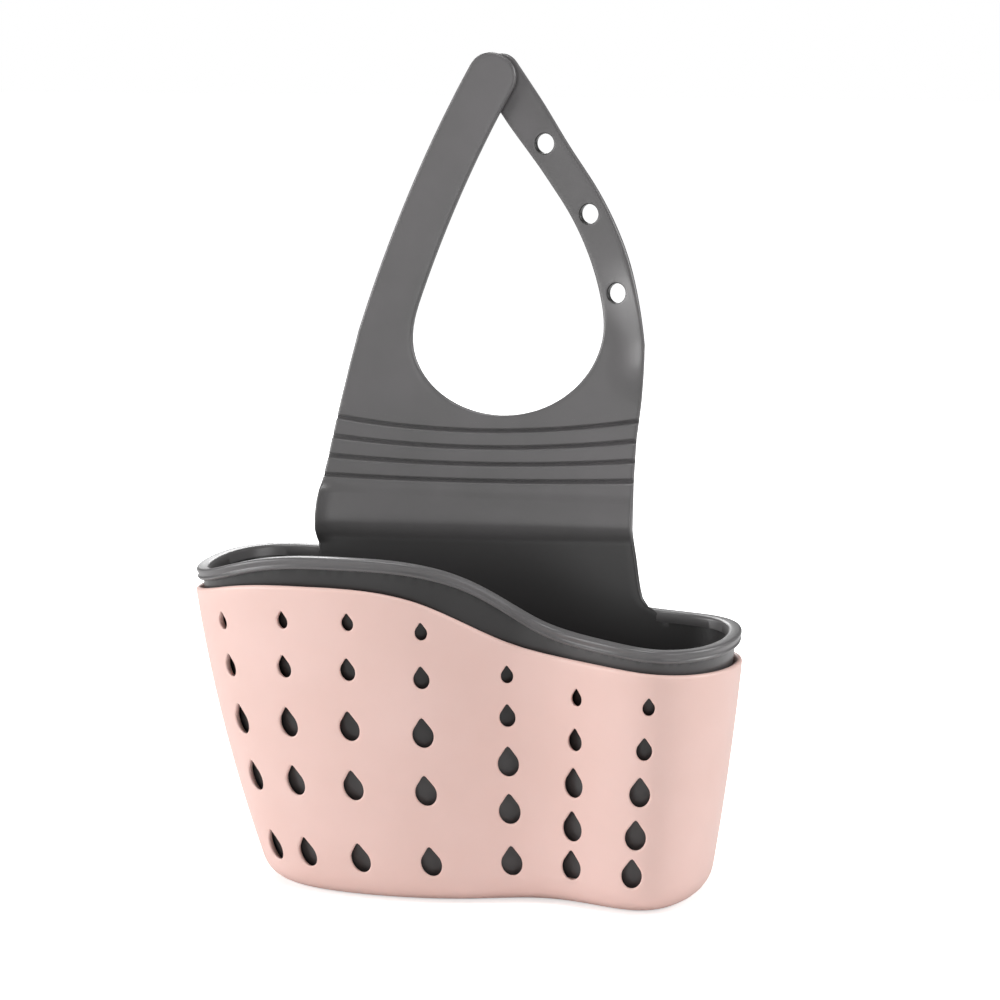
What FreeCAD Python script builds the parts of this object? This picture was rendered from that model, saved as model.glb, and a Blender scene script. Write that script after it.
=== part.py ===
import FreeCAD, Part
import math
import os
import Sketcher
from FreeCAD import Placement, Rotation, Vector

# Kitchen sink caddy: a hard perforated shell, a soft liner nested in it, and the liner's
# strap, which folds at four grooves and closes round a tap with a stud in one of four holes.
# Millimetres, +Z up, +X to the right seen from the front, the front at -Y,
# the origin on the floor at the middle of the foot.

SIZES = {
    # Basket plan, measured on the shell's outside
    "foot_width": 121.5,
    "foot_depth": 52.0,
    "flare_height": 82.0,
    "flare_left": 21.5,
    "flare_right": 11.0,
    "flare_front": 10.0,
    "flare_back": 8.0,
    "belly_share": 0.4,
    "loft_height": 120.0,
    "cut_overrun": 8.0,
    # Shell
    "shell_wall": 2.0,
    "shell_floor": 2.2,
    "bottom_radius": 9.0,
    "edge_left": 83.5,
    "edge_hill": 90.5,
    "edge_right": 72.5,
    "edge_tail": 69.0,
    "edge_back_left": 82.0,
    "edge_back_right": 66.0,
    # Teardrop holes
    "drop_height": 8.1,
    "drop_top_margin": 9.3,
    "drop_bottom_margin": 12.7,
    "drain_diameter": 6.0,
    "drain_pitch": 24.0,
    # Liner
    "nest_gap": 0.6,
    "seat_gap": 0.1,
    "liner_wall": 2.2,
    "liner_floor": 2.2,
    "bead_height": 3.4,
    "bead_reach": 1.6,
    "rim_left": 86.0,
    "rim_hill": 99.0,
    "rim_right": 78.5,
    "rim_tail": 75.0,
    "rim_back_left": 91.0,
    "rim_back_right": 75.5,
    # Neck and ribs, measured up the leaning strap from the floor
    "strap_offset": 8.0,
    "strap_thickness": 2.2,
    "neck_left": 47.5,
    "neck_right": 45.6,
    "neck_spread": 2.5,
    "neck_spread_drop": 8.0,
    "foot_flare": 8.0,
    "foot_flare_top": 14.0,
    "foot_flare_drop": 26.0,
    "foot_flare_radius": 52.0,
    "groove_first": 112.3,
    "groove_pitch": 5.8,
    "groove_sag": 0.9,
    "groove_gap": 0.3,
    "groove_bevel": 0.6,
    # Yoke and loop
    "arm_root": 152.0,
    "loop_bottom": 131.2,
    "loop_bottom_radius": 32.5,
    "loop_shoulder": 19.8,
    "loop_corner_radius": 23.0,
    # Left arm: an arc that leans to the right, with the stud on its rounded end
    "left_root": 31.1,
    "left_width": 14.6,
    "left_radius": 373.0,
    "left_lean": 16.0,
    "left_turn": 12.725,
    "arm_cross": 64.0,
    "tip_gap": 0.4,
    "stud_neck": 4.2,
    "stud_head": 4.9,
    "stud_head_height": 1.6,
    "stud_clearance": 0.3,
    # Right arm: an arc and a straight end, with four button holes
    "right_root": 41.6,
    "right_width": 10.9,
    "right_radius": 87.6,
    "right_lean": 3.6,
    "right_turn": 32.3,
    "right_straight": 39.2,
    "button_hole": 5.7,
    "button_pitch": 24.4,
}

doc = FreeCAD.newDocument("sink_caddy")
sheet = doc.addObject("Spreadsheet::Sheet", "Dims")
for row, (name, value) in enumerate(SIZES.items(), start=1):
    sheet.set(f"A{row}", name)
    sheet.set(f"B{row}", str(value))
    sheet.setAlias(f"B{row}", name)
doc.recompute()


class Size:
    """A length or ratio that carries its value and the sheet expression that gives it."""

    def __init__(self, value, text):
        self.value = value
        self.text = text

    @staticmethod
    def of(other):
        return other if isinstance(other, Size) else Size(float(other), repr(other))

    def join(self, sign, other, value):
        return Size(value, f"({self.text} {sign} {Size.of(other).text})")

    def __add__(self, other):
        return self.join("+", other, self.value + Size.of(other).value)

    def __sub__(self, other):
        return self.join("-", other, self.value - Size.of(other).value)

    def __mul__(self, other):
        return self.join("*", other, self.value * Size.of(other).value)

    def __truediv__(self, other):
        return self.join("/", other, self.value / Size.of(other).value)

    def __neg__(self):
        return Size(-self.value, f"(0 - {self.text})")

    def root(self):
        return Size(math.sqrt(self.value), f"sqrt({self.text})")

    def cosine(self):
        return Size(math.cos(math.radians(self.value)), f"cos({self.text} * 1deg)")

    def sine(self):
        return Size(math.sin(math.radians(self.value)), f"sin({self.text} * 1deg)")


def size(name):
    return Size(float(sheet.get(name)), f"Dims.{name}")


def length(name):
    return float(sheet.get(name))


# Plan of the basket: poles of one closed smooth curve, from the middle of the back to the left.
# Each pole has its place as shares of half the foot's width and depth, and its shares of the
# flares: to the left or right, then to the back or front.
PLAN_SHARES = [
    (0.16, 1.0, 0.0, 1.0),
    (-0.2, 1.0, 0.0, 1.0),
    (-0.5, 1.0, -0.3, 1.0),
    (-0.8, 1.0, -0.35, 1.0),
    (-1.03, 0.65, -0.95, 1.0),
    (-1.02, -0.46, -1.05, -0.25),
    (-0.75, -0.96, -0.7, -0.9),
    (-0.33, -1.1, -0.4, -1.0),
    (0.07, -0.98, -0.3, -0.9),
    (0.36, -0.67, -0.12, -0.1),
    (0.62, -0.85, 0.0, -0.5),
    (0.93, -1.06, 0.35, -1.0),
    (1.11, -0.31, 1.0, -0.4),
    (1.08, 0.73, 0.85, 1.0),
    (0.84, 1.0, 0.45, 1.0),
    (0.52, 1.0, 0.25, 1.0),
]


def plan_poles(height, inset):
    """The plan's poles at a height, moved inwards so that the curve lies that much inside."""
    rise = height / length("flare_height")
    bulge = rise * (1 + length("belly_share") * (1 - rise))
    poles = []
    for across, deep, side, depth in PLAN_SHARES:
        x = across * length("foot_width") / 2
        x += side * bulge * length("flare_left" if side < 0 else "flare_right")
        y = deep * length("foot_depth") / 2
        y += depth * rise * length("flare_back") if depth > 0 else depth * bulge * length("flare_front")
        poles.append(Vector(x, y, height))
    moved = []
    for index, pole in enumerate(poles):
        before = (pole - poles[index - 1]).normalize()
        after = (poles[(index + 1) % len(poles)] - pole).normalize()
        normals = [Vector(-along.y, along.x, 0) for along in (before, after)]
        shift = (normals[0] + normals[1]) / (1 + normals[0].dot(normals[1]))
        moved.append(pole + shift * inset)
    return moved


def plan_curve(height, inset):
    curve = Part.BSplineCurve()
    curve.buildFromPoles(plan_poles(height, inset), True, 3)
    return curve


LOFT_SHARES = (0.0, 0.5, 1.0)


def tub(bottom, inset, radius):
    """A solid with the basket's flared walls, from its rounded bottom up past every edge."""
    heights = [bottom + share * (length("loft_height") - bottom) for share in LOFT_SHARES]
    wires = [Part.Wire(plan_curve(height, inset).toShape()) for height in heights]
    solid = Part.makeLoft(wires, True, False)
    rounds = [edge for edge in solid.Edges if edge.BoundBox.ZMax < bottom + radius / 2]
    return solid.makeFillet(radius, rounds)


# Waved edges: nine poles across the front, from left to right, as shares of the cut's width.
EDGE_SHARES = (0.0, 0.075, 0.18, 0.31, 0.495, 0.615, 0.74, 0.89, 1.0)
RIM_SHARES = (0.0, 0.075, 0.21, 0.36, 0.55, 0.645, 0.755, 0.89, 1.0)
FRONT_HEIGHTS = ("left", "left", "hill", "hill", "hill", "right", "right", "tail", "tail")
BACK_FALL_SHARES = (0.0, 0.0, 0.0, 0.25, 0.5, 0.75, 1.0, 1.0, 1.0)


def above_wave(kind, shares, drop):
    """Everything above a waved edge, lowered by drop: the edge is ruled from front to back."""
    overrun = length("cut_overrun")
    left = -length("foot_width") / 2 - length("flare_left") - 2 * overrun
    right = length("foot_width") / 2 + length("flare_right") + 2 * overrun
    front = -length("foot_depth") / 2 - length("flare_front")
    back = length("foot_depth") / 2 + length("flare_back")
    fall = length(f"{kind}_back_right") - length(f"{kind}_back_left")
    wires = []
    beyond = overrun / (back - front)
    for plane, share in ((front - overrun, 1 + beyond), (back + overrun, -beyond)):
        poles = []
        for across, place, fallen in zip(shares, FRONT_HEIGHTS, BACK_FALL_SHARES):
            front_height = length(f"{kind}_{place}")
            back_height = length(f"{kind}_back_left") + fallen * fall
            height = back_height + (front_height - back_height) * share - drop
            poles.append(Vector(left + across * (right - left), plane, height))
        wave = Part.BSplineCurve()
        wave.buildFromPoles(poles, False, 3)
        top = length("loft_height") + overrun
        corners = [poles[-1], Vector(right, plane, top), Vector(left, plane, top), poles[0]]
        sides = [Part.LineSegment(a, b).toShape() for a, b in zip(corners, corners[1:])]
        wires.append(Part.Wire([wave.toShape()] + sides))
    return Part.makeLoft(wires, True, True)


def feature(name, shape):
    made = doc.addObject("Part::Feature", name)
    made.Shape = shape
    return made


def boolean(kind, name, base, tool):
    made = doc.addObject(f"Part::{kind}", name)
    made.Base = base
    made.Tool = tool
    doc.recompute()
    return made


# Teardrop holes, in columns along the front and rows from the waved edge down.
# A column's shares are its places along the plan's curve at its top and bottom rows,
# its share of the top margin, and how far its rows go from the left spacing to the right one.
COLUMN_SHARES = (
    (0.2925, 0.291, 1.01, 0.0),
    (0.339, 0.324, 1.05, 0.0),
    (0.38, 0.365, 1.01, 0.0),
    (0.427, 0.416, 0.84, 0.0),
    (0.486, 0.481, 0.98, 0.4),
    (0.551, 0.5425, 1.11, 1.0),
    (0.6175, 0.606, 0.99, 1.0),
)
LEFT_ROW_SHARES = (0.0, 0.197, 0.435, 0.687, 1.0)
RIGHT_ROW_SHARES = (0.0, 0.25, 0.507, 0.767, 1.0)
DROP_HEIGHT_SHARES = (0.57, 0.74, 0.98, 1.0, 0.98)
DROP_RADIUS_SHARE = 0.4


def teardrop(height, depth):
    """A prism with a teardrop outline, its point up, centred on the origin, along Y."""
    radius = height * DROP_RADIUS_SHARE
    reach = height - radius
    centre = Vector(0, -depth / 2, radius - height / 2)
    point = centre + Vector(0, 0, reach)
    touch = radius * radius / reach
    side = math.sqrt(radius * radius - touch * touch)
    right = centre + Vector(side, 0, touch)
    left = centre + Vector(-side, 0, touch)
    round_end = Part.Arc(right, centre - Vector(0, 0, radius), left).toShape()
    flanks = [Part.LineSegment(left, point).toShape(), Part.LineSegment(point, right).toShape()]
    return Part.Face(Part.Wire([round_end] + flanks)).extrude(Vector(0, depth, 0))


def edge_height(share, wave):
    """Height of the waved edge above a place on the plan: the wall below the cut ends there."""
    low = length("bottom_radius")
    high = length("loft_height")
    while high - low > length("seat_gap"):
        middle = (low + high) / 2
        if wave.isInside(plan_curve(middle, 0).value(share), length("seat_gap"), True):
            high = middle
        else:
            low = middle
    return low


def shell_holes(wave):
    prisms = []
    bottom = length("drop_bottom_margin")
    depth = 3 * length("shell_wall")
    for top_share, bottom_share, margin, spacing in COLUMN_SHARES:
        top = edge_height(top_share, wave) - margin * length("drop_top_margin")
        for left, right, drop in zip(LEFT_ROW_SHARES, RIGHT_ROW_SHARES, DROP_HEIGHT_SHARES):
            row = left + (right - left) * spacing
            height = top + (bottom - top) * row
            curve = plan_curve(height, length("shell_wall") / 2)
            share = top_share + (bottom_share - top_share) * row
            along = curve.tangent(share)[0]
            facing = math.degrees(math.atan2(along.y, along.x))
            prism = teardrop(length("drop_height") * drop, depth)
            prism.Placement = Placement(curve.value(share), Rotation(Vector(0, 0, 1), facing))
            prisms.append(prism)
    return prisms


DRAIN_PLACES = (-1.5, -0.5, 0.5, 1.5)


def drains(top):
    radius = length("drain_diameter") / 2
    overrun = length("cut_overrun")
    bottoms = [Vector(place * length("drain_pitch"), 0, -overrun) for place in DRAIN_PLACES]
    return [Part.makeCylinder(radius, top + overrun, bottom) for bottom in bottoms]


# Outer shell
shell_radius = length("bottom_radius")
shell_block = feature("shell_block", tub(0, 0, shell_radius))
cavity = tub(length("shell_floor"), length("shell_wall"), shell_radius - length("shell_wall"))
shell_cavity = feature("shell_cavity", cavity)
shell_wave = feature("shell_wave", above_wave("edge", EDGE_SHARES, 0))
holes = shell_holes(shell_wave.Shape) + drains(length("shell_floor") + length("bottom_radius") / 2)
shell_openings = feature("shell_openings", Part.makeCompound(holes))
shell_tub = boolean("Cut", "shell_tub", shell_block, shell_cavity)
shell_trimmed = boolean("Cut", "shell_trimmed", shell_tub, shell_wave)
outer_shell = boolean("Cut", "outer_shell", shell_trimmed, shell_openings)

# The strap's frame: X across, Z up along the strap, its back face at Y zero
lean = math.degrees(math.atan2(length("flare_back"), length("flare_height")))
nest = length("shell_wall") + length("nest_gap")
strap_origin = Vector(-length("strap_offset"), length("foot_depth") / 2 - nest, 0)
strap_frame = Placement(strap_origin, Rotation(Vector(1, 0, 0), -lean))

zero = Size(0.0, "0")
half_gap = size("groove_gap") / 2
thickness = size("strap_thickness")


def groove_line(index):
    return size("groove_first") + size("groove_pitch") * index


def groove_sag(index):
    return size("groove_sag") * (index + 1)


def arc_radius(chord, sag):
    return (chord * chord / 4 + sag * sag) / (sag * 2)


# Left arm: the middle line is an arc about a centre far to the right of the arm
left_start = size("left_lean")
left_end = left_start + size("left_turn")
left_centre_across = -size("left_root") + size("left_radius") * left_start.cosine()
left_centre_up = -(size("left_radius") * left_start.sine())


def left_point(radius, heading):
    return (left_centre_across - radius * heading.cosine(), left_centre_up + radius * heading.sine())


def left_root_across(radius, height):
    rise = height - left_centre_up
    return left_centre_across - (radius * radius - rise * rise).root()


# Right arm: the middle line is an arc about a centre to the left, then a straight end
right_start = size("right_lean")
right_end = right_start + size("right_turn")
right_centre_across = size("right_root") - size("right_radius") * right_start.cosine()
right_centre_up = -(size("right_radius") * right_start.sine())


def right_point(radius, heading, onward):
    across = right_centre_across + radius * heading.cosine() - onward * heading.sine()
    return (across, right_centre_up + radius * heading.sine() + onward * heading.cosine())


def right_root_across(radius, height):
    rise = height - right_centre_up
    return right_centre_across + (radius * radius - rise * rise).root()


left_outer = size("left_radius") + size("left_width") / 2
left_inner = size("left_radius") - size("left_width") / 2
right_outer = size("right_radius") + size("right_width") / 2
right_inner = size("right_radius") - size("right_width") / 2


def strap_edge(neck, root, height):
    """A side of the strap between the lowest groove and the arms' roots: a straight line."""
    share = (height - size("groove_first")) / (size("arm_root") - size("groove_first"))
    return neck + (root - neck) * share


def left_edge(height):
    return strap_edge(-size("neck_left"), left_root_across(left_outer, zero), height)


def right_edge(height):
    return strap_edge(size("neck_right"), right_root_across(right_outer, zero), height)


# Inner liner: basket, rim bead and neck panel
liner_bottom = length("shell_floor") + length("seat_gap")
liner_radius = shell_radius - nest
liner_inset = nest + length("liner_wall")
hollow_bottom = liner_bottom + length("liner_floor")
hollow_radius = liner_radius - length("liner_wall")
liner_block = feature("liner_block", tub(liner_bottom, nest, liner_radius))
liner_hollow = feature("liner_hollow", tub(hollow_bottom, liner_inset, hollow_radius))
bead_block = feature("bead_block", tub(liner_bottom, nest - length("bead_reach"), liner_radius))


def neck_panel():
    """The space of the back wall's panel that rises above the rim, up to the lowest groove."""
    top = (groove_line(0) - half_gap).value
    left = -length("neck_left")
    right = length("neck_right")
    sag = groove_sag(0).value
    spread = Vector(left - length("neck_spread"), 0, top - length("neck_spread_drop"))
    low = top - length("foot_flare_top") - length("foot_flare_drop")
    flare_top = Vector(right, 0, top - length("foot_flare_top"))
    flare_foot = Vector(right + length("foot_flare"), 0, low)
    chord = flare_foot - flare_top
    radius = length("foot_flare_radius")
    bow = radius - math.sqrt(radius * radius - chord.Length * chord.Length / 4)
    inward = Vector(chord.z, 0, -chord.x).normalize()
    flare_middle = (flare_top + flare_foot) / 2 + inward * bow
    top_right = Vector(right, 0, top)
    top_left = Vector(left, 0, top)
    top_middle = Vector((left + right) / 2, 0, top - sag)
    edges = [
        Part.Arc(top_right, top_middle, top_left).toShape(),
        Part.LineSegment(top_left, spread).toShape(),
        Part.LineSegment(spread, Vector(spread.x, 0, low)).toShape(),
        Part.LineSegment(Vector(spread.x, 0, low), flare_foot).toShape(),
        Part.Arc(flare_foot, flare_middle, flare_top).toShape(),
        Part.LineSegment(flare_top, top_right).toShape(),
    ]
    face = Part.Face(Part.Wire(edges))
    face.translate(Vector(0, length("cut_overrun"), 0))
    space = face.extrude(Vector(0, -4 * length("cut_overrun"), 0))
    space.Placement = strap_frame
    return space


rim_wave = feature("rim_wave", above_wave("rim", RIM_SHARES, 0))
bead_wave = feature("bead_wave", above_wave("rim", RIM_SHARES, length("bead_height")))
panel_space = feature("panel_space", neck_panel())
floor_holes = Part.makeCompound(drains(hollow_bottom + length("bottom_radius") / 2))
liner_drains = feature("liner_drains", floor_holes)
rim_cut = boolean("Cut", "rim_cut", rim_wave, panel_space)
liner_wall = boolean("Cut", "liner_wall", liner_block, rim_cut)
bead_top = boolean("Cut", "bead_top", bead_block, rim_wave)
bead_band = boolean("Common", "bead_band", bead_top, bead_wave)
liner_solid = boolean("Fuse", "liner_solid", liner_wall, bead_band)
liner_tub = boolean("Cut", "liner_tub", liner_solid, liner_hollow)
inner_liner = boolean("Cut", "inner_liner", liner_tub, liner_drains)


def origin_plane(body, role):
    return [plane for plane in body.Origin.OriginFeatures if plane.Role == role][0]


def strap_body(name, placement):
    made = doc.addObject("PartDesign::Body", name)
    made.Placement = placement
    return made


def strap_sketch(body, name):
    made = body.newObject("Sketcher::SketchObject", name)
    made.AttachmentSupport = (origin_plane(body, "XZ_Plane"), [""])
    made.MapMode = "FlatFace"
    return made


def bind(sketch, kind, places, amount):
    index = sketch.addConstraint(Sketcher.Constraint(kind, *places, amount.value))
    sketch.setExpression(f"Constraints[{index}]", amount.text)


def draw_outline(sketch, corners, bends):
    """A closed outline: each corner is bound to the sheet, and a bend gives the side that
    follows it a radius and a side for its centre, 1 to the left of the way round, -1 to the right."""
    ends = []
    for index, (corner, bend) in enumerate(zip(corners, bends)):
        start = Vector(corner[0].value, corner[1].value, 0)
        following = corners[(index + 1) % len(corners)]
        finish = Vector(following[0].value, following[1].value, 0)
        if bend is None:
            curve = sketch.addGeometry(Part.LineSegment(start, finish), False)
            ends.append((curve, 1, 2))
            continue
        radius, side = bend
        chord = finish - start
        height = math.sqrt(radius.value ** 2 - chord.Length ** 2 / 4)
        to_centre = Vector(-chord.y, chord.x, 0).normalize() * side
        centre = (start + finish) / 2 + to_centre * height
        first, last = (start, finish) if side > 0 else (finish, start)
        angles = [math.atan2(point.y - centre.y, point.x - centre.x) for point in (first, last)]
        if angles[1] < angles[0]:
            angles[1] += 2 * math.pi
        circle = Part.Circle(centre, Vector(0, 0, 1), radius.value)
        curve = sketch.addGeometry(Part.ArcOfCircle(circle, *angles), False)
        ends.append((curve, 1, 2) if side > 0 else (curve, 2, 1))
    for index, (curve, start, finish) in enumerate(ends):
        following = ends[(index + 1) % len(ends)]
        sketch.addConstraint(Sketcher.Constraint("Coincident", curve, finish, following[0], following[1]))
        bind(sketch, "DistanceX", (-1, 1, curve, start), corners[index][0])
        bind(sketch, "DistanceY", (-1, 1, curve, start), corners[index][1])
        if bends[index] is not None:
            bind(sketch, "Radius", (curve,), bends[index][0])


def draw_circle(sketch, place, diameter):
    centre = Vector(place[0].value, place[1].value, 0)
    circle = Part.Circle(centre, Vector(0, 0, 1), diameter.value / 2)
    curve = sketch.addGeometry(circle, False)
    bind(sketch, "DistanceX", (-1, 1, curve, 3), place[0])
    bind(sketch, "DistanceY", (-1, 1, curve, 3), place[1])
    bind(sketch, "Diameter", (curve,), diameter)


def pad(body, sketch, name, amount, backwards):
    made = body.newObject("PartDesign::Pad", name)
    made.Profile = sketch
    made.setExpression("Length", amount.text)
    made.Reversed = backwards
    doc.recompute()
    return made


def bevel_grooves(body, base, radii):
    """Bevels the front edges of the curved groove sides, which have these radii."""
    front = base.Shape.BoundBox.YMin
    names = []
    for index, edge in enumerate(base.Shape.Edges, start=1):
        on_front = edge.BoundBox.YMax < front + thickness.value / 2
        round_edge = edge.Curve.TypeId == "Part::GeomCircle"
        if not (on_front and round_edge):
            continue
        if any(abs(edge.Curve.Radius - radius.value) < radius.value / 1000 for radius in radii):
            names.append(f"Edge{index}")
    made = body.newObject("PartDesign::Chamfer", f"{body.Label}_bevel")
    made.Base = (base, names)
    made.setExpression("Size", "Dims.groove_bevel")
    doc.recompute()
    if not made.Shape.Volume < base.Shape.Volume:
        raise RuntimeError(f"{body.Label}: the bevel cut nothing")


# Hinge ribs between the four grooves
RIBS = 3
ribs = []
for number in range(1, RIBS + 1):
    rib = strap_body(f"hinge_rib_{number}", strap_frame)
    sketch = strap_sketch(rib, f"rib_outline_{number}")
    bottom = groove_line(number - 1) + half_gap
    top = groove_line(number) - half_gap
    bottom_radius = arc_radius(right_edge(bottom) - left_edge(bottom), groove_sag(number - 1))
    top_radius = arc_radius(right_edge(top) - left_edge(top), groove_sag(number))
    corners = [
        (left_edge(bottom), bottom),
        (right_edge(bottom), bottom),
        (right_edge(top), top),
        (left_edge(top), top),
    ]
    draw_outline(sketch, corners, [(bottom_radius, 1), None, (top_radius, -1), None])
    plate = pad(rib, sketch, f"rib_plate_{number}", thickness, False)
    bevel_grooves(rib, plate, [bottom_radius, top_radius])
    ribs.append(rib)

# Yoke: from the highest groove round the bottom of the loop to the arms' roots
yoke = strap_body("strap_yoke", strap_frame)
sketch = strap_sketch(yoke, "yoke_outline")
bottom = groove_line(RIBS) + half_gap
top = size("arm_root") - half_gap
bottom_radius = arc_radius(right_edge(bottom) - left_edge(bottom), groove_sag(RIBS))
loop_left = left_root_across(left_inner, zero)
loop_right = right_root_across(right_inner, zero)
loop_middle = (loop_left + loop_right) / 2
shoulder = size("loop_shoulder")
bowl = size("loop_bottom_radius")
shoulder_height = size("loop_bottom") + bowl - (bowl * bowl - shoulder * shoulder).root()
corners = [
    (left_edge(bottom), bottom),
    (right_edge(bottom), bottom),
    (right_edge(top), top),
    (loop_right, top),
    (loop_middle + shoulder, shoulder_height),
    (loop_middle - shoulder, shoulder_height),
    (loop_left, top),
    (left_edge(top), top),
]
corner = size("loop_corner_radius")
bends = [(bottom_radius, 1), None, None, (corner, -1), (bowl, -1), (corner, -1), None, None]
draw_outline(sketch, corners, bends)
plate = pad(yoke, sketch, "yoke_plate", thickness, False)
bevel_grooves(yoke, plate, [bottom_radius])

# Arms: each is tilted about its root line, the left one forwards from the strap's front face and
# the right one backwards from its back face, so that they pass each other where they cross
tilt = math.degrees(math.atan2((length("strap_thickness") + length("tip_gap")) / 2, length("arm_cross")))


def arm_frame(face, angle):
    root = Placement(Vector(0, face, length("arm_root")), Rotation(Vector(1, 0, 0), angle))
    return strap_frame.multiply(root)


right_arm = strap_body("right_arm", arm_frame(0, -tilt))
sketch = strap_sketch(right_arm, "right_arm_outline")
straight = size("right_straight")
tip_radius = size("right_width") / 2
right_tip = right_point(size("right_radius"), right_end, straight)
corners = [
    (right_root_across(right_outer, half_gap), half_gap),
    right_point(right_outer, right_end, zero),
    right_point(right_outer, right_end, straight),
    right_point(size("right_radius"), right_end, straight + tip_radius),
    right_point(right_inner, right_end, straight),
    right_point(right_inner, right_end, zero),
    (right_root_across(right_inner, half_gap), half_gap),
]
bends = [(right_outer, 1), None, (tip_radius, 1), (tip_radius, 1), None, (right_inner, -1), None]
draw_outline(sketch, corners, bends)
BUTTON_HOLES = 4
for number in range(BUTTON_HOLES):
    back = size("button_pitch") * number
    if back.value <= straight.value:
        place = right_point(size("right_radius"), right_end, straight - back)
    else:
        turned = (back - straight) / size("right_radius") * (180 / math.pi)
        place = right_point(size("right_radius"), right_end - turned, zero)
    draw_circle(sketch, place, size("button_hole"))
pad(right_arm, sketch, "right_arm_plate", thickness, False)

left_arm = strap_body("left_arm", arm_frame(-length("strap_thickness"), tilt))
sketch = strap_sketch(left_arm, "left_arm_outline")
tip_radius = size("left_width") / 2
left_tip = left_point(size("left_radius"), left_end)
corners = [
    (left_root_across(left_outer, half_gap), half_gap),
    (left_root_across(left_inner, half_gap), half_gap),
    left_point(left_inner, left_end),
    (left_tip[0] + tip_radius * left_end.sine(), left_tip[1] + tip_radius * left_end.cosine()),
    left_point(left_outer, left_end),
]
bends = [None, (left_inner, -1), (tip_radius, 1), (tip_radius, 1), (left_outer, 1)]
draw_outline(sketch, corners, bends)
pad(left_arm, sketch, "left_arm_plate", thickness, True)
stud_length = thickness * 2 + size("tip_gap") + size("stud_clearance") * 2
sketch = strap_sketch(left_arm, "stud_neck_circle")
draw_circle(sketch, right_tip, size("stud_neck"))
pad(left_arm, sketch, "stud_neck_pad", stud_length, True)
sketch = strap_sketch(left_arm, "stud_head_circle")
sketch.setExpression("AttachmentOffset.Base.z", (-stud_length).text)
draw_circle(sketch, right_tip, size("stud_head"))
pad(left_arm, sketch, "stud_head_pad", size("stud_head_height"), True)

doc.recompute()
for thing in doc.Objects:
    if "Invalid" in thing.State or "Error" in thing.State:
        raise RuntimeError(f"{thing.Label} did not build: {thing.State}")

pieces = [outer_shell, inner_liner] + ribs + [yoke, left_arm, right_arm]
for piece in pieces:
    shape = piece.Shape
    if shape.isNull() or not shape.isValid() or len(shape.Solids) != 1:
        raise RuntimeError(f"{piece.Label} is not one valid solid")

os.makedirs("parts", exist_ok=True)
for piece in pieces:
    piece.Shape.exportStep(f"parts/{piece.Label}.step")
    print(piece.Label, f"volume {piece.Shape.Volume:.0f} mm3")
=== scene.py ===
import math

import bmesh
import bpy
import numpy as np
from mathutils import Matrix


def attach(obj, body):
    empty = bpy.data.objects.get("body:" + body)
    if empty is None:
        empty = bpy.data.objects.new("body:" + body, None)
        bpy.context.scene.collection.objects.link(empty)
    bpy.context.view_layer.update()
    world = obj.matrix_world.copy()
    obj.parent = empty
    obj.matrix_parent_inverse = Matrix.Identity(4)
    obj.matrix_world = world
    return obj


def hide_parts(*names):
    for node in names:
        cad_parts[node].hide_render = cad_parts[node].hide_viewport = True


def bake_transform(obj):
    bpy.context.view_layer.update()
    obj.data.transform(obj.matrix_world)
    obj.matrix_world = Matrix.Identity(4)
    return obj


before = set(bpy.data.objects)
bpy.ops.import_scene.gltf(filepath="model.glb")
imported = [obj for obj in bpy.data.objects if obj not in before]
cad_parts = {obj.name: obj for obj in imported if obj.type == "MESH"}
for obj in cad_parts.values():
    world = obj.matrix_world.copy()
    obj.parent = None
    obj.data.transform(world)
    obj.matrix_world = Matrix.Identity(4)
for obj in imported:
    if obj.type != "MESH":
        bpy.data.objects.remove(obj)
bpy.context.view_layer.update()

# Shell: the hard outer basket, moulded in satin polypropylene. Its bean-shaped plan flares
# upwards to a waved, rounded top edge, and columns of teardrop holes let the liner drain.
MM = 0.001
FOOT_WIDTH = 121.5
FOOT_DEPTH = 52.0
FLARE_HEIGHT = 82.0
FLARE_LEFT = 21.5
FLARE_RIGHT = 11.0
FLARE_FRONT = 10.0
FLARE_BACK = 8.0
BELLY_SHARE = 0.4
CUT_MARGIN = 16.0
SHELL_WALL = 2.0
SHELL_FLOOR = 2.2
BOTTOM_RADIUS = 9.0
DROP_HEIGHT = 8.1
DROP_TOP_MARGIN = 9.3
DROP_BOTTOM = 12.7
DRAIN_RADIUS = 3.0
DRAIN_PLACES = (-36.0, -12.0, 12.0, 36.0)
DRAIN_SIDES = 28
BEND_WEIGHT = 0.77

# Plan poles from the middle of the back to the left: place across and deep as shares of half
# the foot, then shares of the flare to the side and of the flare to the back or front.
PLAN_SHARES = np.array([
    (0.16, 1.0, 0.0, 1.0),
    (-0.2, 1.0, 0.0, 1.0),
    (-0.5, 1.0, -0.3, 1.0),
    (-0.8, 1.0, -0.35, 1.0),
    (-1.03, 0.65, -0.95, 1.0),
    (-1.02, -0.46, -1.05, -0.25),
    (-0.75, -0.96, -0.7, -0.9),
    (-0.33, -1.1, -0.4, -1.0),
    (0.07, -0.98, -0.3, -0.9),
    (0.36, -0.67, -0.12, -0.1),
    (0.62, -0.85, 0.0, -0.5),
    (0.93, -1.06, 0.35, -1.0),
    (1.11, -0.31, 1.0, -0.4),
    (1.08, 0.73, 0.85, 1.0),
    (0.84, 1.0, 0.45, 1.0),
    (0.52, 1.0, 0.25, 1.0),
])


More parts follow.
